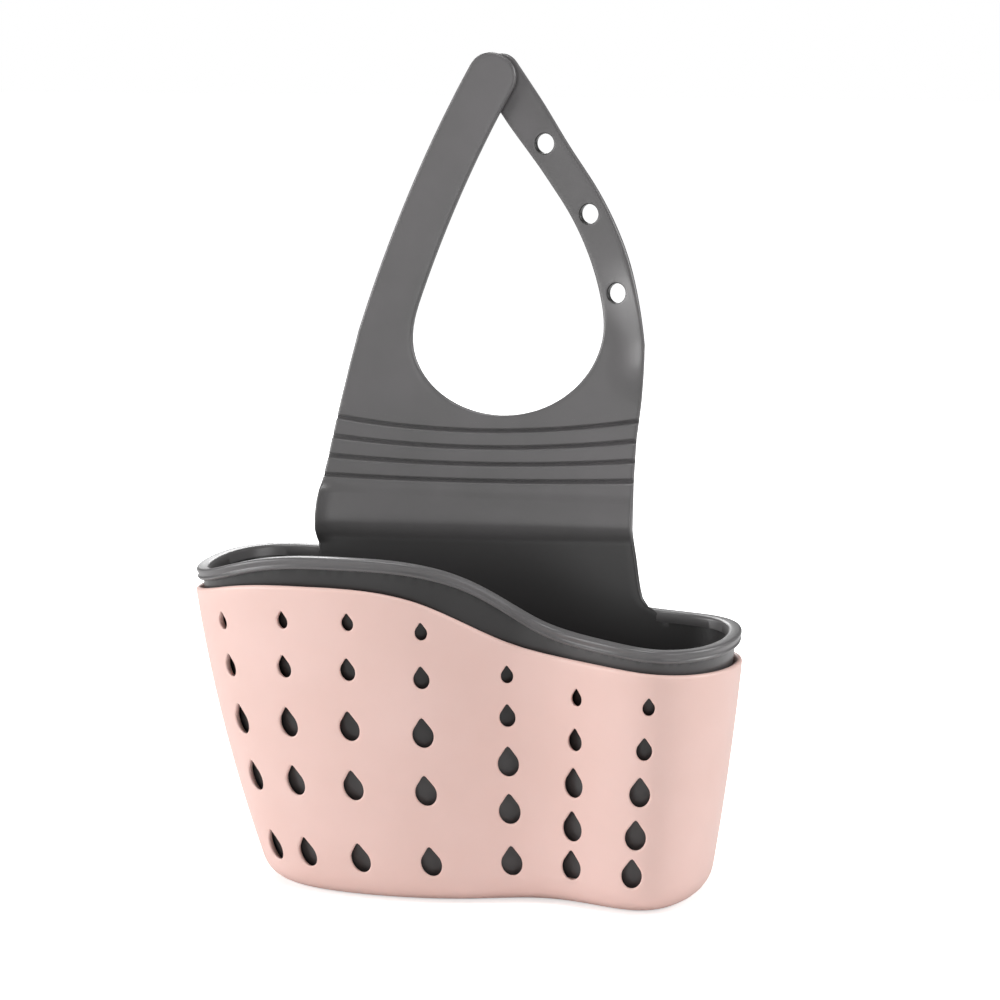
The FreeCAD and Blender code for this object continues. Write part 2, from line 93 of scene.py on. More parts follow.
def wall(share, height, inset):
    """Points on the basket's wall, in millimetres, that far inside the shell's outer face."""
    share, height, inset = np.broadcast_arrays(share, height, inset)
    shape = share.shape
    share, height, inset = (np.ravel(values).astype(float) for values in (share, height, inset))
    rise = (height / FLARE_HEIGHT)[:, None]
    bulge = rise * (1 + BELLY_SHARE * (1 - rise))
    across, deep, side, depth = PLAN_SHARES.T
    x = across * FOOT_WIDTH / 2 + bulge * side * np.where(side < 0, FLARE_LEFT, FLARE_RIGHT)
    y = deep * FOOT_DEPTH / 2 + depth * np.where(depth > 0, rise * FLARE_BACK, bulge * FLARE_FRONT)
    poles = np.stack([x, y], axis=-1)
    along = poles - np.roll(poles, 1, axis=1)
    along /= np.linalg.norm(along, axis=-1, keepdims=True)
    before = np.stack([-along[..., 1], along[..., 0]], axis=-1)
    after = np.roll(before, -1, axis=1)
    shift = (before + after) / (1 + (before * after).sum(axis=-1, keepdims=True))
    poles = poles + inset[:, None, None] * shift
    turn = share * len(PLAN_SHARES) + 1
    span = np.floor(turn).astype(int)
    f = turn - span
    weights = ((1 - f) ** 3, 3 * f ** 3 - 6 * f ** 2 + 4, 1 + 3 * f + 3 * f ** 2 - 3 * f ** 3, f ** 3)
    rows = np.arange(len(share))
    flat = np.zeros((len(share), 2))
    for step, weight in enumerate(weights):
        flat += weight[:, None] / 6 * poles[rows, (span + step - 1) % len(PLAN_SHARES)]
    return np.column_stack([flat, height]).reshape(shape + (3,))


def clamped_spline(poles, steps=600):
    """Values along a cubic spline with these poles that starts and ends at its end poles."""
    poles = np.asarray(poles, float)
    spans = len(poles) - 3
    knots = np.concatenate([np.zeros(3), np.arange(spans + 1), np.full(3, spans)])
    place = np.linspace(0, spans, steps)
    span = np.minimum(place.astype(int), spans - 1)
    values = [poles[span + step] for step in range(4)]
    for level in range(1, 4):
        for step in range(3, level - 1, -1):
            low = knots[span + step]
            high = knots[span + step + 4 - level]
            share = (place - low) / (high - low)
            values[step] = (1 - share) * values[step - 1] + share * values[step]
    return values[3]


EDGE_FRONT = -FOOT_DEPTH / 2 - FLARE_FRONT
EDGE_BACK = FOOT_DEPTH / 2 + FLARE_BACK
EDGE_LEFT = -FOOT_WIDTH / 2 - FLARE_LEFT - CUT_MARGIN
EDGE_RIGHT = FOOT_WIDTH / 2 + FLARE_RIGHT + CUT_MARGIN
BACK_FALL_SHARES = np.array((0.0, 0.0, 0.0, 0.25, 0.5, 0.75, 1.0, 1.0, 1.0))


def waved_edge(shares, front_heights, back_left, back_right):
    """An edge's heights at the front and at the back, as tables along its width."""
    across = clamped_spline(EDGE_LEFT + np.array(shares) * (EDGE_RIGHT - EDGE_LEFT))
    back = clamped_spline(back_left + BACK_FALL_SHARES * (back_right - back_left))
    return across, clamped_spline(front_heights), back


def edge_height(share, inset, edge):
    """Height at which the wall meets a waved edge, which is ruled from front to back."""
    across, front, back = edge
    height = np.full(np.shape(share), FLARE_HEIGHT)
    for _ in range(24):
        place = wall(share, height, inset)
        forward = (EDGE_BACK - place[..., 1]) / (EDGE_BACK - EDGE_FRONT)
        low = np.interp(place[..., 0], across, back)
        high = np.interp(place[..., 0], across, front)
        height = (height + low + forward * (high - low)) / 2
    return height


def patch(points, closed=False):
    """A grid of points as a piece of mesh; closed joins each row's end to its start."""
    rows, columns = points.shape[:2]
    count = columns if closed else columns - 1
    faces = []
    for row in range(rows - 1):
        for column in range(count):
            following = (column + 1) % columns
            faces.append((row * columns + column, row * columns + following,
                          (row + 1) * columns + following, (row + 1) * columns + column))
    return points.reshape(-1, 3), faces


WELD_REACH = 4e-6
SLIVER_REACH = 2e-6
SHARP_ANGLE = math.radians(48)


def welded(name, patches, painted_shade=None):
    """One smooth mesh object from pieces of mesh in millimetres that share their borders."""
    corners = []
    faces = []
    for points, quads in patches:
        start = sum(len(block) for block in corners)
        corners.append(points)
        faces += [tuple(start + corner for corner in quad) for quad in quads]
    mesh = bpy.data.meshes.new(name)
    mesh.from_pydata((np.concatenate(corners) * MM).tolist(), [], faces)
    # These per-point values are painted shade: they darken the elastomer's colour to stand in for shade.
    if painted_shade:
        values = [np.broadcast_to(np.ravel(value), len(block)) for value, block in zip(painted_shade, corners)]
        mesh.attributes.new("painted_shade", "FLOAT", "POINT").data.foreach_set("value", np.concatenate(values))
    work = bmesh.new()
    work.from_mesh(mesh)
    bmesh.ops.remove_doubles(work, verts=work.verts, dist=WELD_REACH)
    bmesh.ops.dissolve_degenerate(work, edges=work.edges, dist=SLIVER_REACH)
    bmesh.ops.recalc_face_normals(work, faces=work.faces)
    work.to_mesh(mesh)
    work.free()
    mesh.shade_smooth()
    mesh.set_sharp_from_angle(angle=SHARP_ANGLE)
    piece = bpy.data.objects.new(name, mesh)
    bpy.context.scene.collection.objects.link(piece)
    return piece


# Each hole sits in a cell of the wall, with places round the cell's border in fixed directions.
CELL_SIDE = 12
side_places = np.linspace(-1, 1, CELL_SIDE, endpoint=False)
side_ends = np.ones(CELL_SIDE)
CELL_RING = np.concatenate([
    np.column_stack([side_places, -side_ends]),
    np.column_stack([side_ends, side_places]),
    np.column_stack([-side_places, side_ends]),
    np.column_stack([-side_ends, -side_places]),
])
RING_TURNS = np.arctan2(CELL_RING[:, 1], CELL_RING[:, 0])
RING_WAYS = np.column_stack([np.cos(RING_TURNS), np.sin(RING_TURNS)])


DROP_RADIUS = 0.4
DROP_POINT = 0.6
DROP_CENTRE = 0.1
POINT_ROUND = 0.05


def drop_outline(grow):
    """A teardrop of height 1, its point up and slightly rounded, grown outwards all round."""
    radius = DROP_RADIUS - POINT_ROUND
    reach = DROP_POINT - POINT_ROUND
    slope = radius / reach
    rise = math.sqrt(1 - slope * slope)
    low = np.zeros(len(RING_WAYS))
    high = np.full(len(RING_WAYS), 2.0)
    for _ in range(40):
        middle = (low + high) / 2
        across = np.abs(middle * RING_WAYS[:, 0])
        up = middle * RING_WAYS[:, 1] + DROP_CENTRE
        place = rise * up - slope * across
        flank = rise * across + slope * up - radius
        below = np.hypot(across, up) - radius
        above = np.hypot(across, up - reach)
        gap = np.where(place < 0, below, np.where(place > rise * reach, above, flank))
        inside = gap < POINT_ROUND + grow
        low = np.where(inside, middle, low)
        high = np.where(inside, high, middle)
    return low[:, None] * RING_WAYS


def hole_lip(name, outline, lip_share, lip, thickness, draft):
    """The softened wall of a hole through a sheet: X and Z across the sheet, Y through it."""
    turns = np.linspace(0, math.pi / 2, 6)
    grows = np.concatenate([1 - np.sin(turns), 1 - np.sin(turns[::-1])]) * lip_share
    depths = np.concatenate([lip - lip * np.cos(turns), thickness - lip + lip * np.cos(turns[::-1])])
    rings = []
    for grow, depth in zip(grows, depths):
        flat = outline(grow + draft * depth / thickness)
        rings.append(np.column_stack([flat[:, 0], np.full(len(flat), depth), flat[:, 1]]))
    points, faces = patch(np.array(rings), closed=True)
    mesh = bpy.data.meshes.new(name)
    mesh.from_pydata(points.tolist(), [], faces)
    return bpy.data.objects.new(name, mesh)


def add_node(tree, kind, sockets=(), **settings):
    """Adds a node, sets its properties, and gives its inputs values or links."""
    made = tree.nodes.new(kind)
    for name, value in settings.items():
        setattr(made, name, value)
    for name, value in dict(sockets).items():
        if isinstance(value, bpy.types.NodeSocket):
            tree.links.new(value, made.inputs[name])
        else:
            made.inputs[name].default_value = value
    return made


perforation = bpy.data.node_groups.new("perforation", "GeometryNodeTree")
perforation.interface.new_socket("Places", in_out="INPUT", socket_type="NodeSocketGeometry")
lip_input = perforation.interface.new_socket("Lip", in_out="INPUT", socket_type="NodeSocketObject")
size_input = perforation.interface.new_socket("Height", in_out="INPUT", socket_type="NodeSocketFloat")
finish_input = perforation.interface.new_socket("Finish", in_out="INPUT", socket_type="NodeSocketMaterial")
perforation.interface.new_socket("Holes", in_out="OUTPUT", socket_type="NodeSocketGeometry")
given = add_node(perforation, "NodeGroupInput")
lip_shape = add_node(perforation, "GeometryNodeObjectInfo", {"Object": given.outputs["Lip"]})
stretch = add_node(
    perforation, "GeometryNodeInputNamedAttribute", {"Name": "stretch"}, data_type="FLOAT_VECTOR")
across_size = add_node(perforation, "ShaderNodeCombineXYZ", {
    "X": given.outputs["Height"], "Y": 1.0, "Z": given.outputs["Height"]})
hole_size = add_node(perforation, "ShaderNodeVectorMath", operation="MULTIPLY")
perforation.links.new(stretch.outputs["Attribute"], hole_size.inputs[0])
perforation.links.new(across_size.outputs["Vector"], hole_size.inputs[1])
placed = add_node(perforation, "GeometryNodeInstanceOnPoints", {
    "Points": given.outputs["Places"], "Instance": lip_shape.outputs["Geometry"],
    "Scale": hole_size.outputs["Vector"]})
realized = add_node(perforation, "GeometryNodeRealizeInstances", {"Geometry": placed.outputs["Instances"]})
finished = add_node(perforation, "GeometryNodeSetMaterial", {
    "Geometry": realized.outputs["Geometry"], "Material": given.outputs["Finish"]})
add_node(perforation, "NodeGroupOutput", {"Holes": finished.outputs["Geometry"]})


def hole_walls(name, lip, height, finish, places, stretches):
    """The lips of all holes of one kind, placed on their sheet, as points and faces."""
    mesh = bpy.data.meshes.new(name)
    mesh.from_pydata([(across, 0.0, up) for across, up in places], [], [])
    mesh.attributes.new("stretch", "FLOAT_VECTOR", "POINT").data.foreach_set(
        "vector", np.array([(wide, 1.0, tall) for wide, tall in stretches], np.float32).ravel())
    carrier = bpy.data.objects.new(name, mesh)
    bpy.context.scene.collection.objects.link(carrier)
    modifier = carrier.modifiers.new("perforation", "NODES")
    modifier.node_group = perforation
    modifier[lip_input.identifier] = lip
    modifier[size_input.identifier] = height
    modifier[finish_input.identifier] = finish
    made = bpy.data.meshes.new_from_object(carrier.evaluated_get(bpy.context.evaluated_depsgraph_get()))
    points = np.empty(len(made.vertices) * 3)
    made.vertices.foreach_get("co", points)
    faces = [tuple(face.vertices) for face in made.polygons]
    for leftover in (carrier, lip):
        bpy.data.objects.remove(leftover)
    bpy.data.meshes.remove(made)
    return points.reshape(-1, 3), faces


def srgb(code):
    """Linear colour of an sRGB hex code."""
    parts = [int(code[start:start + 2], 16) / 255 for start in (1, 3, 5)]
    return [part / 12.92 if part <= 0.04045 else ((part + 0.055) / 1.055) ** 2.4 for part in parts] + [1.0]


def moulded_finish(name, tones, mottle, detail, roughness, grain_size, glosses, relief_strength):
    """A moulded material: two tones in a flow mottle, and a fine grain in its gloss and relief."""
    finish = bpy.data.materials.new(name)
    finish.use_nodes = True
    tree = finish.node_tree
    surface = tree.nodes["Principled BSDF"]
    place = add_node(tree, "ShaderNodeTexCoord")
    flow = add_node(tree, "ShaderNodeTexNoise", {
        "Vector": place.outputs["Object"], "Scale": 1 / (mottle * MM), "Detail": detail,
        "Roughness": roughness})
    ramp = add_node(tree, "ShaderNodeValToRGB", {"Fac": flow.outputs["Fac"]})
    for stop, (position, code) in zip(ramp.color_ramp.elements, tones):
        stop.position = position
        stop.color = srgb(code)
    tree.links.new(ramp.outputs["Color"], surface.inputs["Base Color"])
    grain = add_node(tree, "ShaderNodeTexNoise", {
        "Vector": place.outputs["Object"], "Scale": 1 / (grain_size * MM), "Detail": 2.0, "Roughness": 0.6})
    gloss = add_node(tree, "ShaderNodeMapRange", {
        "Value": grain.outputs["Fac"], "From Min": 0.2, "From Max": 0.8,
        "To Min": glosses[0], "To Max": glosses[1]})
    tree.links.new(gloss.outputs["Result"], surface.inputs["Roughness"])
    relief = add_node(tree, "ShaderNodeBump", {
        "Height": grain.outputs["Fac"], "Strength": relief_strength, "Distance": 0.05 * MM})
    tree.links.new(relief.outputs["Normal"], surface.inputs["Normal"])
    return finish, surface, ramp


# Satin moulded polypropylene: an even pale pink with a faint flow mottle, a soft gloss from the
# spark-eroded mould, and a grain drawn at 0.6 mm, coarser than the real one so that it shows.
polypropylene, surface, _ = moulded_finish(
    "satin_moulded_polypropylene", ((0.3, "#e1bfb6"), (0.7, "#e5c4bc")), mottle=28, detail=3.0,
    roughness=0.5, grain_size=0.6, glosses=(0.4, 0.5), relief_strength=0.12)
surface.inputs["IOR"].default_value = 1.49
surface.inputs["Subsurface Weight"].default_value = 0.06
surface.inputs["Subsurface Radius"].default_value = (1.0, 0.55, 0.45)
surface.inputs["Subsurface Scale"].default_value = 1.5 * MM

shell_edge = waved_edge(
    (0.0, 0.075, 0.18, 0.31, 0.495, 0.615, 0.74, 0.89, 1.0),
    (83.5, 83.5, 90.5, 90.5, 90.5, 72.5, 72.5, 69.0, 69.0), 82.0, 66.0)

# Columns of holes: share of the plan at the top and bottom rows, share of the top margin, and
# how far the rows go from the left spacing to the right one.
COLUMNS = np.array([
    (0.2925, 0.291, 1.01, 0.0),
    (0.339, 0.324, 1.05, 0.0),
    (0.38, 0.365, 1.01, 0.0),
    (0.427, 0.416, 0.84, 0.0),
    (0.486, 0.481, 0.98, 0.4),
    (0.551, 0.5425, 1.11, 1.0),
    (0.6175, 0.606, 0.99, 1.0),
])
LEFT_ROWS = np.array((0.0, 0.197, 0.435, 0.687, 1.0))
RIGHT_ROWS = np.array((0.0, 0.25, 0.507, 0.767, 1.0))
DROP_SHARES = np.array((0.57, 0.74, 0.98, 1.0, 0.98))
EDGE_ROUND = SHELL_WALL / 2
FLOOR_BORDER = 1.5
LIP_SHARE = 0.12
LIP = 0.8
DRAFT_SHARE = 0.12
DROP_SLIM = 0.84

column_top = edge_height(COLUMNS[:, 0], 0.0, shell_edge) - COLUMNS[:, 2] * DROP_TOP_MARGIN
row_places = LEFT_ROWS + COLUMNS[:, 3:4] * (RIGHT_ROWS - LEFT_ROWS)
hole_heights = column_top[:, None] + (DROP_BOTTOM - column_top)[:, None] * row_places
hole_shares = COLUMNS[:, 0:1] + (COLUMNS[:, 1] - COLUMNS[:, 0])[:, None] * row_places


def round_start(share, floor, inset, radius):
    """Height where the rounding of the bottom meets the wall, and its length along the floor."""
    low = wall(share, floor, inset)
    run = wall(share, floor + radius, inset)[..., :2] - low[..., :2]
    lean = np.arctan(np.linalg.norm(run, axis=-1) / radius)
    reach = radius * np.tan(math.pi / 4 - lean / 2)
    return floor + reach * np.cos(lean), reach


def bend_rows(ends, count):
    """Rows of points round a bend, from its start, pulled towards its corner, to its end."""
    rows = []
    for step in np.linspace(0, 1, count):
        weights = (1 - step) ** 2, 2 * BEND_WEIGHT * step * (1 - step), step ** 2
        rows.append(sum(weight * end for weight, end in zip(weights, ends)) / sum(weights))
    return np.array(rows)


def rounding(share, floor, inset, radius):
    """Rows of points from the wall round to the floor."""
    start, reach = round_start(share, floor, inset, radius)
    ends = wall(share, start, inset), wall(share, floor, inset), wall(share, floor, inset + reach)
    return bend_rows(ends, 8)


turns = np.linspace(0, 2 * math.pi, DRAIN_SIDES, endpoint=False)
drain_rings = [np.column_stack([across + DRAIN_RADIUS * np.cos(turns), DRAIN_RADIUS * np.sin(turns)])
               for across in DRAIN_PLACES]


def pierced_floor(loop, height):
    """A flat floor inside a loop of points, with round drain holes and a plain border."""
    work = bmesh.new()
    middle = loop.mean(axis=0)
    reach = np.linalg.norm(loop - middle, axis=1, keepdims=True)
    border = middle + (loop - middle) * (1 - FLOOR_BORDER / reach)
    for ring in [border] + drain_rings:
        corners = [work.verts.new((corner[0], corner[1], height)) for corner in ring]
        for first, second in zip(corners, corners[1:] + corners[:1]):
            work.edges.new((first, second))
    bmesh.ops.triangle_fill(work, use_beauty=True, edges=work.edges)
    work.verts.index_update()
    points = np.array([corner.co[:] for corner in work.verts])
    faces = [tuple(corner.index for corner in face.verts) for face in work.faces]
    work.free()
    edge_points, edge_faces = patch(np.array([loop, border]), closed=True)
    faces += [tuple(corner + len(points) for corner in face) for face in edge_faces]
    return np.concatenate([points, edge_points]), faces


def drain_walls(bottom, top):
    """The walls of the drain holes between two heights."""
    bores = []
    for ring in drain_rings:
        rows = [np.column_stack([ring, np.full(len(ring), height)]) for height in (bottom, top)]
        bores.append(patch(np.array(rows), closed=True))
    return bores


# Borders of the cells lie midway between the holes, from the top edge's rounding to the bottom's.
share_borders = np.empty((len(COLUMNS) + 1, len(DROP_SHARES)))
share_borders[1:-1] = (hole_shares[1:] + hole_shares[:-1]) / 2
share_borders[0] = 2 * hole_shares[0] - share_borders[1]
share_borders[-1] = 2 * hole_shares[-1] - share_borders[-2]
corner_shares = np.empty((len(COLUMNS) + 1, len(DROP_SHARES) + 1))
corner_shares[:, 1:-1] = (share_borders[:, 1:] + share_borders[:, :-1]) / 2
corner_shares[:, 0] = share_borders[:, 0]
corner_shares[:, -1] = share_borders[:, -1]
row_borders = (hole_heights[:, 1:] + hole_heights[:, :-1]) / 2
corner_heights = np.zeros_like(corner_shares)
corner_heights[1:-1, 1:-1] = (row_borders[1:] + row_borders[:-1]) / 2
corner_heights[0, 1:-1] = row_borders[0]
corner_heights[-1, 1:-1] = row_borders[-1]


def top_border(share):
    return edge_height(share, SHELL_WALL / 2, shell_edge) - EDGE_ROUND


def bottom_border(share):
    return round_start(share, 0.0, 0.0, BOTTOM_RADIUS)[0]


corner_heights[:, 0] = top_border(corner_shares[:, 0])
corner_heights[:, -1] = bottom_border(corner_shares[:, -1])
side_shares = np.linspace(0, 1, CELL_SIDE + 1)


def cell_ring(column, row):
    """Places round a cell, in share and height, anticlockwise from its lower left corner."""
    def run(start, end):
        step = side_shares[:-1, None]
        return (1 - step) * np.array(start) + step * np.array(end)

    def corner(right, low):
        where = column + right, row + low
        return corner_shares[where], corner_heights[where]

    low_side = run(corner(0, 1), corner(1, 1))
    right_side = run(corner(1, 1), corner(1, 0))
    high_side = run(corner(1, 0), corner(0, 0))
    left_side = run(corner(0, 0), corner(0, 1))
    if row == 0:
        high_side[:, 1] = top_border(high_side[:, 0])
    if row == len(DROP_SHARES) - 1:
        low_side[:, 1] = bottom_border(low_side[:, 0])
    return np.concatenate([low_side, right_side, high_side, left_side])


SHEET_WIDTH = 400.0
SPEED_STEP = 1e-3
CELL_STEPS = (0.0, 0.12, 0.3, 0.55, 0.8, 1.0)
hole_places = []
hole_stretches = []
shell_patches = []
for column in range(len(COLUMNS)):
    for row, drop in enumerate(DROP_SHARES):
        share = hole_shares[column, row]
        height = hole_heights[column, row]
        way = wall(share + SPEED_STEP, height, 0.0) - wall(share - SPEED_STEP, height, 0.0)
        speed = np.linalg.norm(way) / (2 * SPEED_STEP)
        hole_places.append((share * SHEET_WIDTH, height))
        hole_stretches.append((drop * DROP_SLIM * SHEET_WIDTH / speed, drop))
        border = cell_ring(column, row)
        for inset, draft in ((0.0, 0.0), (SHELL_WALL, DRAFT_SHARE)):
            rim = drop_outline(LIP_SHARE + draft) * DROP_HEIGHT * drop * np.array((DROP_SLIM / speed, 1.0))
            rim = rim + (share, height)
            rings = np.array([rim + (border - rim) * step for step in CELL_STEPS])
            shell_patches.append(patch(wall(rings[..., 0], rings[..., 1], inset), closed=True))

teardrop = hole_lip("teardrop", drop_outline, LIP_SHARE, LIP, SHELL_WALL, DRAFT_SHARE)
points, faces = hole_walls(
    "teardrop_places", teardrop, DROP_HEIGHT, polypropylene, hole_places, hole_stretches)
shell_patches.append((wall(points[:, 0] / SHEET_WIDTH, points[:, 2], points[:, 1]), faces))


def border_run(corners, line):
    """Values along one border of the cells, from a table of the cells' corners."""
    ends = zip(corners[line], corners[line, 1:])
    runs = [first + (second - first) * side_shares[:-1] for first, second in ends]
    return np.append(np.concatenate(runs), corners[line, -1])


# The plain wall goes round the back from the last column of cells to the first.
BACK_COLUMNS = 110
way = np.linspace(0, 1, BACK_COLUMNS + 1)[None, :]
right_heights = border_run(corner_heights, -1)[:, None]
left_heights = border_run(corner_heights, 0)[:, None]
right_shares = border_run(corner_shares, -1)[:, None]
left_shares = border_run(corner_shares, 0)[:, None] + 1
back_shares = right_shares * (1 - way) + left_shares * way
right_fall = (right_heights - right_heights[0]) / (right_heights[-1] - right_heights[0])
left_fall = (left_heights - left_heights[0]) / (left_heights[-1] - left_heights[0])
fall = right_fall * (1 - way) + left_fall * way
back_top = top_border(back_shares[0])
back_bottom = bottom_border(back_shares[-1])
back_heights = back_top + fall * (back_bottom - back_top)
for inset in (0.0, SHELL_WALL):
    shell_patches.append(patch(wall(back_shares, back_heights, inset)))

top_shares = np.concatenate([border_run(corner_shares.T, 0)[:-1], back_shares[0, :-1]])
turns = np.linspace(0, math.pi, 9)[:, None]
top_heights = top_border(top_shares) + EDGE_ROUND * np.sin(turns)
shell_patches.append(patch(wall(top_shares, top_heights, EDGE_ROUND * (1 - np.cos(turns))), closed=True))

bottom_shares = np.concatenate([border_run(corner_shares.T, -1)[:-1], back_shares[-1, :-1]])
outside = rounding(bottom_shares, 0.0, 0.0, BOTTOM_RADIUS)
shell_patches.append(patch(outside, closed=True))
shell_patches.append(pierced_floor(outside[-1], 0.0))
inside_start = bottom_border(bottom_shares)
inside_corner = wall(bottom_shares, SHELL_FLOOR, SHELL_WALL)
inside_reach = np.linalg.norm(wall(bottom_shares, inside_start, SHELL_WALL) - inside_corner, axis=-1)
inside_ends = (wall(bottom_shares, inside_start, SHELL_WALL), inside_corner,
               wall(bottom_shares, SHELL_FLOOR, SHELL_WALL + inside_reach))
inside = bend_rows(inside_ends, 7)
shell_patches.append(patch(inside, closed=True))
shell_patches.append(pierced_floor(inside[-1], SHELL_FLOOR))
shell_patches += drain_walls(0.0, SHELL_FLOOR)

shell = welded("perforated_shell", shell_patches)
shell.data.materials.append(polypropylene)
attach(shell, "shell")
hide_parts("outer_shell")

# Liner: the soft inner basket, moulded in grey thermoplastic elastomer. It nests in the shell,
# ends in a thick rounded bead, and its back wall rises as the neck panel that carries the strap.
NEST = 2.6
LINER_WALL = 2.2
LINER_BOTTOM = 2.3
LINER_FLOOR = 4.5
BEAD_HEIGHT = 3.4
BEAD_REACH = 1.6
STRAP_OFFSET = -8.0
STRAP_BACK = FOOT_DEPTH / 2 - NEST
LEAN = math.atan2(FLARE_BACK, FLARE_HEIGHT)
PANEL_TOP = 106.5
EDGE_SOFT = 0.8
EDGE_STEPS = np.array((0.0, 0.08, 0.25, 0.5, 0.8))

rim_edge = waved_edge(
    (0.0, 0.075, 0.21, 0.36, 0.55, 0.645, 0.755, 0.89, 1.0),
    (86.0, 86.0, 99.0, 99.0, 99.0, 78.5, 78.5, 75.0, 75.0), 91.0, 75.5)

# Soft-touch elastomer: grey with a dry bloom on the textured strap and bead. A painted shade darkens it
# towards near black inside the basket, under the bead, on the liner's outside and in holes, as the
# per-point attribute says. The grain is drawn at 0.5 mm, coarser than the real one so that it shows.
elastomer, surface, greys = moulded_finish(
    "soft_touch_elastomer", ((0.3, "#5b5a5a"), (0.72, "#615f60")), mottle=18, detail=4.0,
    roughness=0.55, grain_size=0.5, glosses=(0.3, 0.38), relief_strength=0.15)
tree = elastomer.node_tree
# Painted shade: the attribute mixes the grey towards near black, #1a1919, where the liner would lie in shade.
painted_shade = add_node(tree, "ShaderNodeAttribute", attribute_name="painted_shade")
tone = add_node(tree, "ShaderNodeMix", {"Factor": painted_shade.outputs["Fac"]}, data_type="RGBA")
tree.links.new(greys.outputs["Color"], tone.inputs[6])
tone.inputs[7].default_value = srgb("#1a1919")
tree.links.new(tone.outputs[2], surface.inputs["Base Color"])
surface.inputs["IOR"].default_value = 1.5
surface.inputs["Sheen Weight"].default_value = 0.08
surface.inputs["Sheen Roughness"].default_value = 0.5


def soft_half(distance, thickness):
    """Half the thickness of a plate at a distance from its rounded edge."""
    inner = EDGE_SOFT - np.clip(distance, 0, EDGE_SOFT)
    return thickness / 2 - EDGE_SOFT + np.sqrt(EDGE_SOFT ** 2 - inner ** 2)


def plate(front, back):
    """A closed plate between two grids of points with the same borders."""
    sides = [np.array([first, second]) for first, second in (
        (front[0], back[0]), (front[-1], back[-1]), (front[:, 0], back[:, 0]), (front[:, -1], back[:, -1]))]
    return [patch(grid) for grid in [front, back] + sides]


# The strap's sides from the rim up, as places up and across it: the left one steps out at the
# band under the grooves, and the right one curves out to the rim.
LEFT_SIDE = np.array([
    (91.5, -49.0), (93.0, -49.6), (95.5, -50.3), (100.0, -50.4), (104.0, -50.0), (107.0, -49.4),
    (110.0, -48.6), (116.0, -47.2), (122.0, -46.0), (134.0, -43.4), (146.0, -40.6), (152.0, -39.05)])
RIGHT_SIDE = np.array([
    (74.0, 58.5), (75.3, 54.6), (76.4, 51.5), (78.2, 49.6), (80.3, 48.75), (85.0, 47.8), (90.3, 47.0),
    (95.5, 46.0), (99.0, 45.5), (113.0, 45.5), (125.0, 45.95), (136.5, 47.2), (144.0, 48.05),
    (148.0, 48.25), (152.0, 48.2)])
BAND_LOW = 94.2
BAND_HIGH = 110.8
BAND_SWELL = 1.3
BAND_UNDERCUT = 5.4
BAND_TILT = 1.0
BAND_HALF_WIDTH = 50.0
BAND_FADE = 0.8
CURL = 1.1
CURL_WIDTH = 4.0
CURL_EARLY = 2.0
CURL_RISE = 4.0
CURL_FALL = 3.0


def strap_left(up):
    return np.interp(up, LEFT_SIDE[:, 0], LEFT_SIDE[:, 1])


def strap_right(up):
    return np.interp(up, RIGHT_SIDE[:, 0], RIGHT_SIDE[:, 1])


def smooth(share):
    share = np.clip(share, 0, 1)
    return share * share * (3 - 2 * share)


def band_start(across):
    """Height at which the band starts, a little higher towards the right."""
    return BAND_LOW + BAND_TILT * across / BAND_HALF_WIDTH


def band_swell(across, up):
    """How far the band's face stands forward, and how far its left end curls forward."""
    low = band_start(across)
    swell = BAND_SWELL * smooth((up - low) / BAND_UNDERCUT)
    swell = swell * smooth((BAND_HIGH - up) / (BAND_HIGH - low - BAND_UNDERCUT)) ** BAND_FADE
    end = CURL * np.clip(1 - (across - strap_left(up)) / CURL_WIDTH, 0, 1) ** 2
    curl = end * smooth((up - low + CURL_EARLY) / CURL_RISE) * smooth((BAND_HIGH - up) / CURL_FALL)
    return swell, curl


def strap_height(points):
    return (points[..., 1] - STRAP_BACK) * math.sin(LEAN) + points[..., 2] * math.cos(LEAN)


BACK_SHARES = np.linspace(-0.22, 0.2, 300)
BACK_HEIGHT = 95.0
SLOPE_STEP = 1e-4


def back_place(across, up, inset):
    """Share of the plan and height of the back wall's point at a place across and up the strap."""
    xs = wall(BACK_SHARES, BACK_HEIGHT, inset)[:, 0] - STRAP_OFFSET
    share = np.interp(-across, -xs, BACK_SHARES)
    height = up / math.cos(LEAN)
    for _ in range(8):
        here = wall(share, height, inset)
        slope = (wall(share + SLOPE_STEP, height, inset)[..., 0] - here[..., 0]) / SLOPE_STEP
        share = share + (across + STRAP_OFFSET - here[..., 0]) / slope
        height = height + (up - strap_height(here)) / math.cos(LEAN)
    return share, height


def across_steps(width, columns):
    """Distances across a strip: bunched at its two edges, even between them."""
    middle = np.linspace(EDGE_SOFT, width - EDGE_SOFT, columns + 1)
    return np.concatenate([EDGE_STEPS[:-1], middle, width - EDGE_STEPS[-2::-1]])


# The panel's grid: columns bunch at its soft edges, and rows rise from just under the rim.
PANEL_MIDDLE = NEST + LINER_WALL / 2
SINK = 1.6
PANEL_COLUMNS = 44
PANEL_GUESS = 85.0
BAND_APPROACH = 1.5
BAND_TURN = 5.0
panel_low = np.full(PANEL_COLUMNS + 2 * len(EDGE_STEPS) - 1, PANEL_GUESS)
for _ in range(10):
    left, right = strap_left(panel_low), strap_right(panel_low)
    width = right[0] - left[0]
    spread = across_steps(width, PANEL_COLUMNS) / width
    across = left + spread * (right - left)
    share, height = back_place(across, panel_low, PANEL_MIDDLE)
    height = edge_height(share, PANEL_MIDDLE, rim_edge) - SINK
    panel_low = strap_height(wall(share, height, PANEL_MIDDLE))
panel_shares = share
panel_starts = height
panel_feet = across
approach = band_start(across) - BAND_APPROACH
turned = band_start(across) + BAND_TURN
